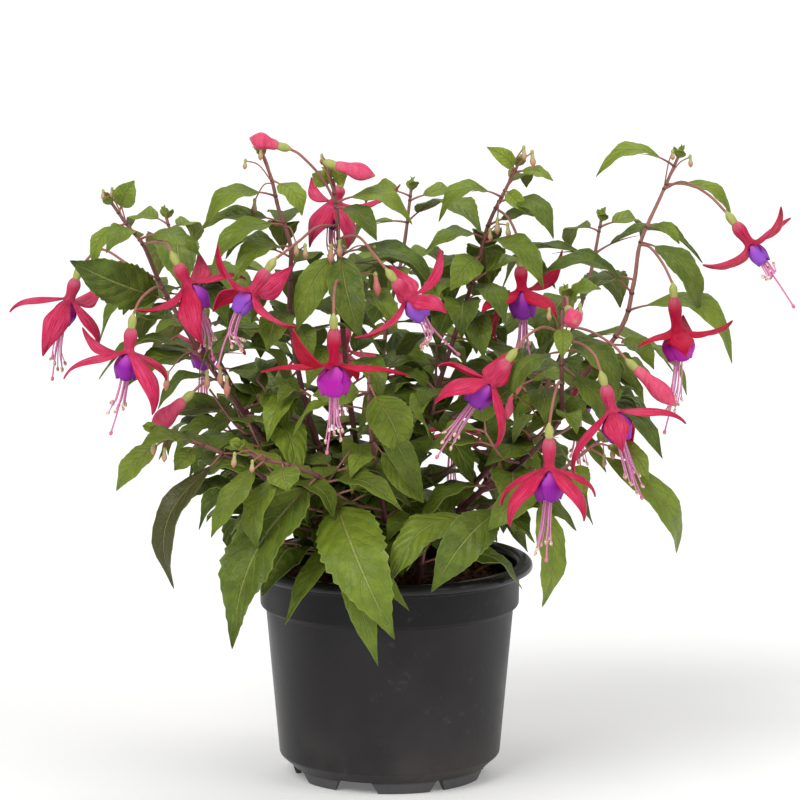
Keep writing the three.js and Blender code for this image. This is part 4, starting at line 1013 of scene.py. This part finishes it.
def addKnots(bm, route, tone, places):
    # a thicker joint wherever leaves and flowers leave the stem
    done = []
    for place in places:
        if all((place - other).length > stemSizes["knotGap"] for other in done):
            done.append(place)
            share = route.shareAt(place.z)
            radius = lerp(stemSizes["rootRadius"], stemSizes["tipRadius"], share ** 0.8)
            size = radius * stemSizes["knotWide"], radius * stemSizes["knotLong"]
            addBead(bm, route.at(share), size, tone, barkTones["knot"], 2, route.heading(share))


def addPedicel(bm, tone, flower):
    # the flower's stalk and its green ovary
    top = Vector(flower["ovary"])
    axis = (Vector(flower.get("hub") or flower["tip"]) - top).normalized()
    path = Route([stemRoutes[flower["stem"]].atHeight(flower["from"]), *flower["via"], top])
    stops = [(path.at(k / 20), stemSizes["pedicel"], lerp(*barkTones["pedicel"], k / 20)) for k in range(20)]
    stops += [(top + axis * along, radius, barkTones["ovary"]) for along, radius in stemSizes["ovary"]]
    addRod(bm, stops, 10, [tone])


# side shoots, small leaves and small buds, which only the looks have; the items are the bases of their draws
shoots = {
    "perStem": 8, "low": 104, "spread": 76, "topGap": 30, "reach": 20, "more": 26, "radius": 0.85, "tip": 0.5,
    "fan": 2.8, "turnEach": 2.1, "firstPair": 0.3, "pairGap": 0.23, "pairs": 4,
    "leafLow": 25, "leafMore": 19, "widthShare": 0.46, "rows": 12, "columns": 4, "tries": 9,
    "frontLimit": -64, "tipFrontLimit": -78, "sideLimit": 128, "items": 3000,
    # the room in front of a flower that stays free of added leaves
    "flowerDrop": 6, "flowerReach": 21, "flowerDepth": 8,
}
tipLeaves = {"count": 2, "reach": 10, "width": 0.56, "rows": 8, "columns": 4, "items": 6000}
infillItems = 7000
tinySizes = {
    "stalk": 10, "stalkRadius": 0.34, "stalkRise": 3, "lean": 0.12, "radius": 0.55, "widening": 0.12,
    "ovary": (0.55, 0.9), "ovaryMore": 0.05, "green": 6, "pink": 13,
}
# stem: the places of the small buds' tips, with their lengths
smallBuds = {
    "stem_left_upper": [((-127, -33, 268), 4), ((-123, -33, 269), 4), ((-81, -42, 184), 8),
        ((-75, -42, 186), 8), ((-72, -44, 181), 9), ((-99, -50, 185), 8)],
    "stem_left_centre": [((-60, -34, 262), 6), ((-57, -36, 286), 5), ((-41, -42, 244), 6),
        ((-37, -42, 243), 6), ((-64, -36, 282), 4)],
    "stem_centre": [((-26, -38, 240), 8), ((-22, -38, 243), 7), ((-5, -42, 226), 10), ((-6, -34, 241), 6),
        ((-30, -34, 284), 4)],
    "stem_right_centre": [((48, -24, 251), 7), ((53, -26, 250), 6), ((60, -22, 284), 6), ((64, -22, 281), 7),
        ((45, -22, 248), 5)],
    "stem_right_tall": [((126, -20, 284), 4), ((134, -22, 281), 5)],
    "stem_right_vertical": [((56, -66, 186), 10), ((52, -66, 175), 12), ((84, -66, 220), 6),
        ((70, -66, 219), 5)],
    "stem_front_left": [((-68, -90, 158), 6), ((-60, -92, 156), 5)],
    "stem_front_right": [((98, -82, 160), 6), ((94, -84, 157), 5)],
    "stem_left_low": [((-104, -70, 160), 6), ((-99, -72, 157), 6)],
}
# more leaves where the plant is thickest: height of the root, tip, width
infill = {
    "stem_left_upper": [(194, (-118, -40, 185), 18), (194, (-110, -3, 192), 15), (212, (-113, 2, 199), 15)],
    "stem_left_centre": [(200, (-59, 11, 191), 18), (206, (-34, 5, 193), 15), (212, (-47, 13, 203), 18),
        (212, (-34, -50, 199), 11), (218, (-54, -61, 205), 15), (218, (-4, -33, 209), 18),
        (236, (-35, 2, 234), 15), (242, (-74, -16, 240), 15), (254, (-48, 1, 241), 15),
        (254, (-48, 1, 252), 15)],
    "stem_centre": [(194, (-3, -48, 181), 15), (194, (-3, 9, 192), 15), (200, (-37, -49, 187), 15),
        (212, (2, -30, 199), 11), (224, (4, -45, 211), 15), (230, (-1, 11, 221), 18)],
    "stem_right_centre": [(194, (25, -31, 181), 11), (206, (53, 16, 193), 15), (207, (47, 31, 196), 19),
        (212, (39, -32, 199), 11), (212, (42, -41, 199), 15), (218, (21, -41, 205), 15),
        (218, (32, -51, 209), 18), (219, (22, 31, 191), 19), (219, (51, 29, 207), 19),
        (236, (18, -24, 233), 11), (237, (27, 28, 209), 19), (242, (39, -47, 240), 15),
        (243, (43, 29, 215), 19), (248, (44, 19, 235), 15), (272, (62, 6, 269), 11)],
    "stem_right_tall": [(200, (79, -28, 197), 11), (230, (86, 6, 217), 15)],
    "stem_back_left": [(158, (-83, 39, 145), 11), (188, (-43, 74, 179), 18), (194, (-58, 53, 192), 15),
        (194, (-57, 87, 192), 15), (206, (-113, 65, 193), 11), (206, (-78, 107, 204), 15),
        (212, (-117, 53, 199), 15), (212, (-74, 51, 199), 15), (212, (-66, 108, 203), 18),
        (219, (-60, 57, 208), 19)],
    "stem_back_centre": [(123, (23, 78, 95), 19), (135, (9, 92, 107), 19), (200, (-9, 52, 198), 15),
        (206, (-12, 117, 204), 15), (218, (28, 66, 205), 15), (219, (-7, 49, 208), 19)],
    "stem_back_right": [(147, (79, 88, 119), 19), (200, (48, 55, 191), 18)],
}


def shootRoute(root, item, k):
    # a side shoot's way, inside the limits if one of the tries is; its heading
    for attempt in range(shoots["tries"]):
        heading = math.atan2(root.y, root.x) + shoots["fan"] * (draw(item, 2 + attempt) - 0.5) \
            + k * shoots["turnEach"]
        reach = shoots["reach"] + shoots["more"] * draw(item, 30)
        out = levelWay(heading)
        end = root + out * reach * 0.8 + Vector((0, 0, reach * (0.35 + 0.3 * draw(item, 31))))
        if end.y > shoots["frontLimit"] and abs(end.x) < shoots["sideLimit"]:
            return Route([root, root + out * reach * 0.4 + Vector((0, 0, reach * 0.12)), end]), heading
    return None, 0


def shootLeaf(path, heading, pair, half, item, attempt):
    root = path.at(shoots["firstPair"] + shoots["pairGap"] * pair)
    turn = heading + math.radians(90 if half else -90) + pair * 0.5 + 0.7 * (draw(item, 1 + attempt) - 0.5)
    if pair % 2:
        turn += math.radians(60 if half else -50)
    length = (shoots["leafLow"] + shoots["leafMore"] * draw(item, 9)) * (1.15 - 0.17 * pair)
    length *= 1 + 0.2 * smooth(root.z, 210, 150)
    out = levelWay(turn)
    tip = root + out * (0.93 * length) + Vector((0, 0, length * (0.12 - 0.6 * draw(item, 10 + attempt))))
    # lower leaves darker green: partly older leaves, partly painted shade under the foliage above
    tone = 0.55 * draw(item, 12) * (0.5 + 0.5 * smooth(root.z, 120, 230))
    return Blade(root, tip, length * shoots["widthShare"], Vector((0, -0.25, 1)) + out * 0.6,
                 0.12 + 0.1 * draw(item, 11), item, (0.1 + 0.2 * pair) * 0.5, tone)


def addShoots(name, index, wood, tone, leaves):
    route = stemRoutes[name]
    top = route.points[-1].z
    spread = min(shoots["spread"], top - shoots["topGap"] - shoots["low"])
    made = 0
    for k in range(shoots["perStem"]):
        item = shoots["items"] + index * 40 + k
        root = route.atHeight(shoots["low"] + spread * (k + 0.6 * draw(item, 1)) / shoots["perStem"])
        path, heading = shootRoute(root, item, k)
        if not path:
            continue
        grown = []
        for n in range(shoots["pairs"] * 2):
            for attempt in range(shoots["tries"]):
                blade = shootLeaf(path, heading, n // 2, n % 2, item * 10 + n, attempt)
                bm = bladeMesh(blade, shoots["rows"], shoots["columns"])
                if blade.tip.y > shoots["tipFrontLimit"] and not hidesFlower(blade) and isClear(bm):
                    keepClear(bm)
                    grown.append((blade, bm))
                    break
                bm.free()
        if len(grown) < 2:
            for _, bm in grown:
                bm.free()
                taken.pop()
            continue
        addStem(wood, path, tone, 12, shoots["radius"], shoots["tip"], *barkTones["shoot"])
        for blade, bm in grown:
            addStalk(wood, blade, tone)
            joinInto(leaves, bm)
        made += len(grown)
    return made


def addInfill(name, index, wood, tone, leaves):
    made = 0
    for height, tip, width in infill.get(name, []):
        root = stemRoutes[name].atHeight(height)
        out = Vector(tip) - root
        out = Vector((out.x, out.y, 0)).normalized()
        item = infillItems + index * 10 + height % 10
        # lower leaves darker green: partly older leaves, partly painted shade under the foliage above
        blade = Blade(root, tip, width, Vector((0, -0.3, 1)) + out * 0.6, 0.16, item, 0.1,
                      0.6 * draw(item, 5) * smooth(root.z, 140, 220))
        bm = bladeMesh(blade)
        if isClear(bm):
            keepClear(bm)
            addStalk(wood, blade, tone)
            joinInto(leaves, bm)
            made += 1
        else:
            bm.free()
    return made


def addTipLeaves(name, index, leaves):
    # the small unopened leaves at the end of a stem
    route = stemRoutes[name]
    heading = route.heading(1)
    for k in range(tipLeaves["count"]):
        root = route.at(1 - 0.012 * (k + 0.2))
        for half in (0, 1):
            item = tipLeaves["items"] + index * 10 + k * 2 + half
            length = tipLeaves["reach"] * (0.5 + 0.3 * k + 0.2 * draw(item, 2))
            out = levelWay(k * 1.57 + half * math.pi + draw(item, 1))
            tip = root + heading * length * (0.95 - 0.3 * k) + out * length * (0.2 + 0.4 * k)
            blade = Blade(root, tip, length * tipLeaves["width"], heading - out * 0.6, 0.08, item, 0.9, 0.8)
            joinInto(leaves, bladeMesh(blade, tipLeaves["rows"], tipLeaves["columns"]))


def addBudBody(bm, tone, young, start, tip, radius, green, sides):
    # tube, waist and pointed bulb; four shallow seams where its sepals meet
    length = (tip - start).length
    axis = (tip - start) / length
    profile = [
        (0.0, 0.4), (0.05, 0.52), (0.12, 0.6), (0.2, 0.63), (0.28, 0.66), (0.36, 0.75), (0.46, 0.91),
        (0.56, 1.0), (0.66, 0.98), (0.76, 0.82), (0.85, 0.56), (0.93, 0.28), (0.985, 0.1),
    ]
    stops = [(start + axis * (length * share), radius * reach, share, green) for share, reach in profile]
    addRod(bm, stops, sides, [tone, young], lambda angle: 1 - 0.07 * abs(math.cos(2 * angle)) ** 6)


def addSmallBud(route, wood, tone, tip, length):
    tip = Vector(tip)
    size = tinySizes
    near = min((route.at(k / 200) for k in range(60, 201)),
               key=lambda p: abs((p - tip).length - size["stalk"] - length))
    lean = Vector((tip.x - near.x, tip.y - near.y, 0)) * size["lean"]
    start = tip + (Vector((0, 0, 1)) - lean * 0.06).normalized() * length
    path = Route([near, (near + start) / 2 + Vector((0, 0, size["stalkRise"])), start])
    addRod(wood, [(path.at(k / 10), size["stalkRadius"], barkTones["budStalk"]) for k in range(11)],
           6, [tone])
    ovary = tuple(reach + size["ovaryMore"] * length for reach in size["ovary"])
    addBead(wood, start, ovary, tone, barkTones["ovary"], 2)
    addBudBody(tinyBuds, *tinyLayers, start + (tip - start) * 0.06, tip,
               size["radius"] + length * size["widening"], smooth(length, size["pink"], size["green"]), 12)


leafCount = 0
grownStems = []
tinyBuds = bmesh.new()
tinyLayers = floatLayers(tinyBuds, "tone", "young")
planned = {name: plannedLeaves(name, index) for index, name in enumerate(stems)}
built = {name: [bladeMesh(blade) for blade in blades] for name, blades in planned.items()}
for meshes in built.values():
    for bm in meshes:
        keepClear(bm)
for index, name in enumerate(stems):
    wood, leaves = bmesh.new(), bmesh.new()
    tone, = floatLayers(wood, "tone")
    leaves.loops.layers.uv.new("leafUv")
    floatLayers(leaves, "tone", "young", "quilt")
    route = stemRoutes[name]
    fresh = 1.0 if name == stemSizes["palest"] else stemSizes["freshness"]
    addStem(wood, route, tone, 8 * len(stems[name][0]), stemSizes["rootRadius"], stemSizes["tipRadius"],
            barkTones["old"], fresh)
    for blade, bm in zip(planned[name], built[name]):
        addStalk(wood, blade, tone)
        joinInto(leaves, bm)
    joints = [blade.root for blade in planned[name]]
    for flower in blooms + buds:
        if flower["stem"] == name:
            addPedicel(wood, tone, flower)
            joints.append(route.atHeight(flower["from"]))
    addKnots(wood, route, tone, joints)
    leafCount += len(planned[name]) + addShoots(name, index, wood, tone, leaves)
    addTipLeaves(name, index, leaves)
    for tip, length in smallBuds.get(name, []):
        addSmallBud(route, wood, tone, tip, length)
    grownStems.append((name, wood, tone, leaves))
for index, (name, wood, tone, leaves) in enumerate(grownStems):
    leafCount += addInfill(name, index, wood, tone, leaves)
    bmesh.ops.recalc_face_normals(wood, faces=wood.faces)
    for edge in leaves.edges:
        edge.smooth = not edge.is_boundary
    makePiece(name + "_wood", wood, [bark], [name])
    leafPiece = makePiece(name + "_leaves", leaves, [leafTop, leafUnder], [name])
    addSolidify(leafPiece, leafSizes["thickness"])
bmesh.ops.recalc_face_normals(tinyBuds, faces=tinyBuds.faces)
makePiece("small_buds", tinyBuds, [budSkin])
print("stems and leaves made:", leafCount, "leaves")

bloomSizes = {
    "ovary": 5.8, "tubeSides": 24, "sepalWidth": 12.8, "sepalRows": 11, "sepalThickness": 0.75,
    "sepalFold": 0.39, "sepalTwist": 34, "sepalCurl": 0.56, "hubRadius": 3.1,
    "petalThickness": 0.3, "petalRows": 9, "petalColumns": 10,
    "petalLength": 13.4, "petalRadius": 7.6, "petalSpread": 68, "closing": 2.3, "mouth": 1.0,
    "stamenRadius": 0.36, "styleRadius": 0.46, "filaments": 8, "tube": [
        (0.0, 1.45), (0.05, 2.0), (0.14, 2.65), (0.27, 3.1), (0.4, 3.15), (0.54, 2.85), (0.68, 2.5),
        (0.81, 2.35), (0.92, 2.45), (1.0, 2.85)],
    # how wide and long the knobs are at the ends
    "anther": (0.74, 1.25), "stigma": (0.85, 1.15),
}
stamenTones = {"filament": 0, "style": 1, "anther": 2, "stigma": 3}


def bloomFrame(bloom):
    # the hub, the way down, and two ways square to it
    hub = Vector(bloom["hub"])
    axis = (hub - Vector(bloom["ovary"])).normalized()
    zero = squareTo(Vector(bloom["sepals"][0]), axis)
    return hub, axis, zero, axis.cross(zero)


def sepalShape(hub, axis, offset, item):
    flat = squareTo(offset, axis)
    droop = offset.dot(axis) / offset.length
    root = hub + flat * (0.8 * bloomSizes["hubRadius"])
    tip = hub + offset
    chord = tip - root
    side = chord.cross(flat * 0.4 - axis).normalized()
    rise = side.cross(chord).normalized()
    arch = 0.1 + 0.18 * droop if droop > 0 else -0.1
    control = (root + tip) / 2 + rise * (2 * arch * chord.length)
    leaving = root + (flat * 0.6 + axis * 0.8).normalized() * (0.24 * chord.length)
    first = (root / 3 + control * 2 / 3).lerp(leaving, 0.55)
    second = tip / 3 + control * 2 / 3
    twist = math.radians(bloomSizes["sepalTwist"]) * (draw(item, 1) - 0.5)
    curled = bloomSizes["sepalCurl"] * (1 if droop < 0.2 else -1)

    def at(across, along):
        back = 1 - along
        spot = (root * back ** 3 + first * (3 * along * back ** 2)
                + second * (3 * along ** 2 * back) + tip * along ** 3)
        heading = ((first - root) * back ** 2 + (second - first) * (2 * along * back)
                   + (tip - second) * along ** 2).normalized()
        turned = Quaternion(heading, twist * along) @ side
        normal = turned.cross(heading).normalized()
        body = lerp(0.4, 1, smooth(along, -0.05, 0.46))
        taper = min(max(along - 0.42, 0) / 0.58, 1)
        half = bloomSizes["sepalWidth"] / 2 * body * (1 - taper ** 1.5) ** 1.2
        half = max(half, 0.14) * (1 + 0.03 * math.sin(along * 15 + item * 3 + across * 2))
        fold = -half * (abs(across) ** 1.5 * math.sin(bloomSizes["sepalFold"]) - 0.06)
        curl = 0.9 * math.sin(math.pi * 2 * along + item) * along * across
        reach = curled * chord.length * max(along - 0.72, 0) ** 2
        return spot + turned * (across * half) + normal * (fold + curl * 0.5 + reach)

    return at, side


def crownMesh(bloom, index):
    # the tube with its four sepals as one skin
    bm = bmesh.new()
    uv = bm.loops.layers.uv.new("sepalUv")
    hue, mapAcross, mapAlong = floatLayers(bm, "hue", "mapAcross", "mapAlong")
    hub, axis, zero, quarter = bloomFrame(bloom)
    start = Vector(bloom["ovary"]) + axis * (bloomSizes["ovary"] - 0.3)
    length = (hub - start).length

    def bearing(offset):
        return math.atan2(offset.dot(quarter), offset.dot(zero)) % (2 * math.pi)

    offsets = sorted((Vector(o) for o in bloom["sepals"]), key=bearing)
    bearings = [bearing(o) for o in offsets]
    before = [bearings[3] - 2 * math.pi, *bearings[:3]]
    corners = [(b + last) / 2 for b, last in zip(bearings, before)]
    corners.append(corners[0] + 2 * math.pi)
    per = bloomSizes["tubeSides"] // 4
    angles = [lerp(corners[k], corners[k + 1], n / per) for k in range(4) for n in range(per)]
    ring = bmesh.ops.create_circle(bm, segments=len(angles), radius=1)["verts"]
    for k, (share, radius) in enumerate(bloomSizes["tube"]):
        centre = start + axis * (length * share)
        places = []
        for a in angles:
            reach = radius * (1 + 0.035 * math.cos(4 * a) * smooth(share, 0.3, 1))
            places.append(centre + zero * (reach * math.cos(a)) + quarter * (reach * math.sin(a)))
        if k:
            ring = growRow(bm, ring, places, True)
        for n, (vert, place) in enumerate(zip(ring, places)):
            vert.co = place
            vert[mapAcross] = n / len(angles) * 4
            vert[mapAlong] = (share - 1) * 0.5
    for k, offset in enumerate(offsets):
        at, side = sepalShape(hub, axis, offset, index * 4 + k)
        row = [ring[(k * per + n) % len(ring)] for n in range(per + 1)]
        base = [vert.co.copy() for vert in row]
        flip = 1 if (base[-1] - base[0]).dot(side) > 0 else -1
        for n in range(1, bloomSizes["sepalRows"] + 1):
            along = n / bloomSizes["sepalRows"]
            places = []
            for m, spot in enumerate(base):
                across = flip * (2 * m / per - 1)
                leaving = spot + (at(across, along) - at(across, 0))
                places.append(leaving.lerp(at(across, along), smooth(along, 0.0, 0.3)))
            row = growRow(bm, row, places)
            for m, vert in enumerate(row):
                vert[mapAcross] = m / per
                vert[mapAlong] = along
        bmesh.ops.pointmerge(bm, verts=row, merge_co=sum((v.co for v in row), Vector()) / len(row))
    for vert in bm.verts:
        vert[hue] = bloom["hues"][1]
    for face in bm.faces:
        for loop in face.loops:
            loop[uv].uv = (loop.vert[mapAcross], loop.vert[mapAlong])
    # the tube's faces tell whether the skin looks outwards
    bm.normal_update()
    lean = 0
    for face in bm.faces:
        if all(vert[mapAlong] < -0.1 for vert in face.verts):
            away = face.calc_center_median() - start
            lean += face.normal.dot(away - axis * away.dot(axis))
    if lean < 0:
        bmesh.ops.reverse_faces(bm, faces=bm.faces)
    return bm


def petalsMesh(bloom, index):
    # four petals, each over the edge of the next
    bm = bmesh.new()
    bm.loops.layers.uv.new("petalUv")
    hue, = floatLayers(bm, "hue")
    hub, axis, zero, quarter = bloomFrame(bloom)
    size, girth = bloomSizes, bloom["girth"]
    full = size["petalRadius"] * girth
    length = size["petalLength"] * (0.45 + 0.55 * girth)
    for k in range(4):
        item = index * 4 + k
        bearing = math.pi / 4 + k * math.pi / 2
        made = bmesh.ops.create_grid(bm, x_segments=size["petalColumns"], y_segments=size["petalRows"],
                                     size=1, calc_uvs=True)["verts"]
        for vert in made:
            across, along = vert.co.x, (vert.co.y + 1) / 2
            spread = math.radians(size["petalSpread"]) * (0.5 + 0.5 * smooth(along, 0, 0.5))
            angle = bearing + across * spread
            belly = 2.2 + (full - 2.2) * math.sin(min(along * 1.75, 1) * math.pi / 2) ** 0.8
            closing = -size["closing"] * girth * smooth(along, 0.5, 1.05)
            wave = 0.12 * math.sin(across * 4 + item * 2.1) * along ** 2
            corner = 1.1 * abs(across) ** 4 * along ** 2
            radius = belly + closing + 0.5 * across * smooth(along, 0.1, 0.6) + wave - corner
            depth = size["mouth"] + length * along * (1 - 0.26 * abs(across) ** 3 * along) \
                + 0.12 * math.sin(across * 5 + item) * along ** 3
            out = zero * (radius * math.cos(angle))
            vert.co = hub + axis * depth + out + quarter * (radius * math.sin(angle))
            vert[hue] = bloom["hues"][0]
    bmesh.ops.recalc_face_normals(bm, faces=bm.faces)
    return bm


def stamensMesh(bloom, index):
    bm = bmesh.new()
    tone, = floatLayers(bm, "tone")
    hub, axis, zero, quarter = bloomFrame(bloom)
    end, style = Vector(bloom["stamens"]), Vector(bloom["style"])
    size, kinds = bloomSizes, stamenTones
    count = size["filaments"]
    for k in range(count):
        item = 500 + index * 20 + k
        angle = 2 * math.pi * (k + 0.5 * draw(item, 1)) / count
        out = zero * math.cos(angle) + quarter * math.sin(angle)
        share = 0.8 + 0.24 * draw(item, 2)
        reach = 2.0 + 2.4 * draw(item, 3)
        path = Route([hub - axis * 2 + out * 0.9, hub + axis * 8 + out * 1.5,
                      hub + lerp(axis * 16.5, end, 0.4) + out * 2.1, hub + end * share + out * reach])
        addRod(bm, [(path.at(n / 14), size["stamenRadius"] * (1 - 0.2 * n / 14), kinds["filament"])
                    for n in range(15)], 6, [tone])
        heading = (path.heading(1) + out * (draw(item, 4) - 0.3)).normalized()
        addBead(bm, path.at(1) + heading * 0.4, size["anther"], tone, kinds["anther"], 2, heading)
    path = Route([hub - axis * 2, hub + axis * 9, hub + lerp(axis * 16.5, style, 0.45), hub + style])
    addRod(bm, [(path.at(n / 18), size["styleRadius"] * (1 - 0.15 * n / 18), kinds["style"])
                for n in range(19)], 7, [tone])
    heading = path.heading(1)
    addBead(bm, path.at(1) + heading * 0.3, size["stigma"], tone, kinds["stigma"], 2, heading)
    bmesh.ops.recalc_face_normals(bm, faces=bm.faces)
    return bm


for index, bloom in enumerate(blooms):
    name = f"bloom_{index + 1}"
    crown = makePiece(name + "_crown", crownMesh(bloom, index), [sepalOuter, sepalInner],
                      [name + "_sepals"])
    addSolidify(crown, bloomSizes["sepalThickness"], -1.0)
    addSubdivision(crown)
    petals = makePiece(name + "_petals", petalsMesh(bloom, index), [petalSkin],
                       [name + "_corolla"])
    addSolidify(petals, bloomSizes["petalThickness"], 0.0, 0)
    addSubdivision(petals)
    makePiece(name + "_stamens", stamensMesh(bloom, index), [stamenSkin], [name + "_sepals"])
print("flowers made:", len(blooms))

for index, bud in enumerate(buds):
    bm = bmesh.new()
    layers = floatLayers(bm, "tone", "young")
    top, tip = Vector(bud["ovary"]), Vector(bud["tip"])
    addBudBody(bm, *layers, top + (tip - top).normalized() * 5.4, tip, bud["radius"] * 1.04, 0, 24)
    bmesh.ops.recalc_face_normals(bm, faces=bm.faces)
    makePiece(f"bud_{index + 1}_skin", bm, [budSkin], [f"bud_{index + 1}"])
print("buds made:", len(buds))

studio = {
    "elevation": 9.8, "distance": 2.6, "lens": 259.2, "target": (0.0047, 0, 0.1725),
    "sky": 0.34, "backdrop": 1.05,
    # name, place, width in degrees, strength
    "lights": [("key", (-1.0, -1.5, 1.7), 34, 1.95), ("fill", (1.6, -1.1, 1.1), 40, 0.95),
               ("top", (0.3, 0.9, 1.8), 50, 0.9)],
}

bm = bmesh.new()
bmesh.ops.create_grid(bm, x_segments=1, y_segments=1, size=6)
mesh = bpy.data.meshes.new("floor")
bm.to_mesh(mesh)
bm.free()
mesh.materials.append(makeFloor())
floor = addObject("floor", mesh)

# the lamps' share of the sky is softer than the backdrop that the camera sees
world = bpy.data.worlds.new("studio")
bpy.context.scene.world = world
world.use_nodes = True
skyTree = world.node_tree
sky = skyTree.nodes["Background"]
sky.inputs["Color"].default_value = (1, 1, 1, 1)
sky.inputs["Strength"].default_value = studio["sky"]
backdrop = skyTree.nodes.new("ShaderNodeBackground")
backdrop.inputs["Strength"].default_value = studio["backdrop"]
seen = skyTree.nodes.new("ShaderNodeLightPath")
either = skyTree.nodes.new("ShaderNodeMixShader")
for source, target in [(seen.outputs["Is Camera Ray"], either.inputs[0]), (sky.outputs[0], either.inputs[1]),
                       (backdrop.outputs[0], either.inputs[2]),
                       (either.outputs[0], skyTree.nodes["World Output"].inputs["Surface"])]:
    skyTree.links.new(source, target)

# far, wide lamps, so that the floor is evenly lit
for name, place, width, strength in studio["lights"]:
    data = bpy.data.lights.new(name, "SUN")
    data.angle = math.radians(width)
    data.energy = strength
    lamp = addObject(name, data)
    lamp.location = place
    lamp.rotation_euler = (-lamp.location).to_track_quat("-Z", "Y").to_euler()

camera = addObject("camera", bpy.data.cameras.new("camera"))
camera.data.lens = studio["lens"]
camera.data.clip_end = 20
tilt = math.radians(studio["elevation"])
camera.location = Vector(studio["target"]) + Vector((0, -math.cos(tilt), math.sin(tilt))) * studio["distance"]
camera.rotation_euler = (math.pi / 2 - tilt, 0, 0)
bpy.context.scene.camera = camera
bpy.context.scene.view_settings.view_transform = "Standard"

print("stage made")
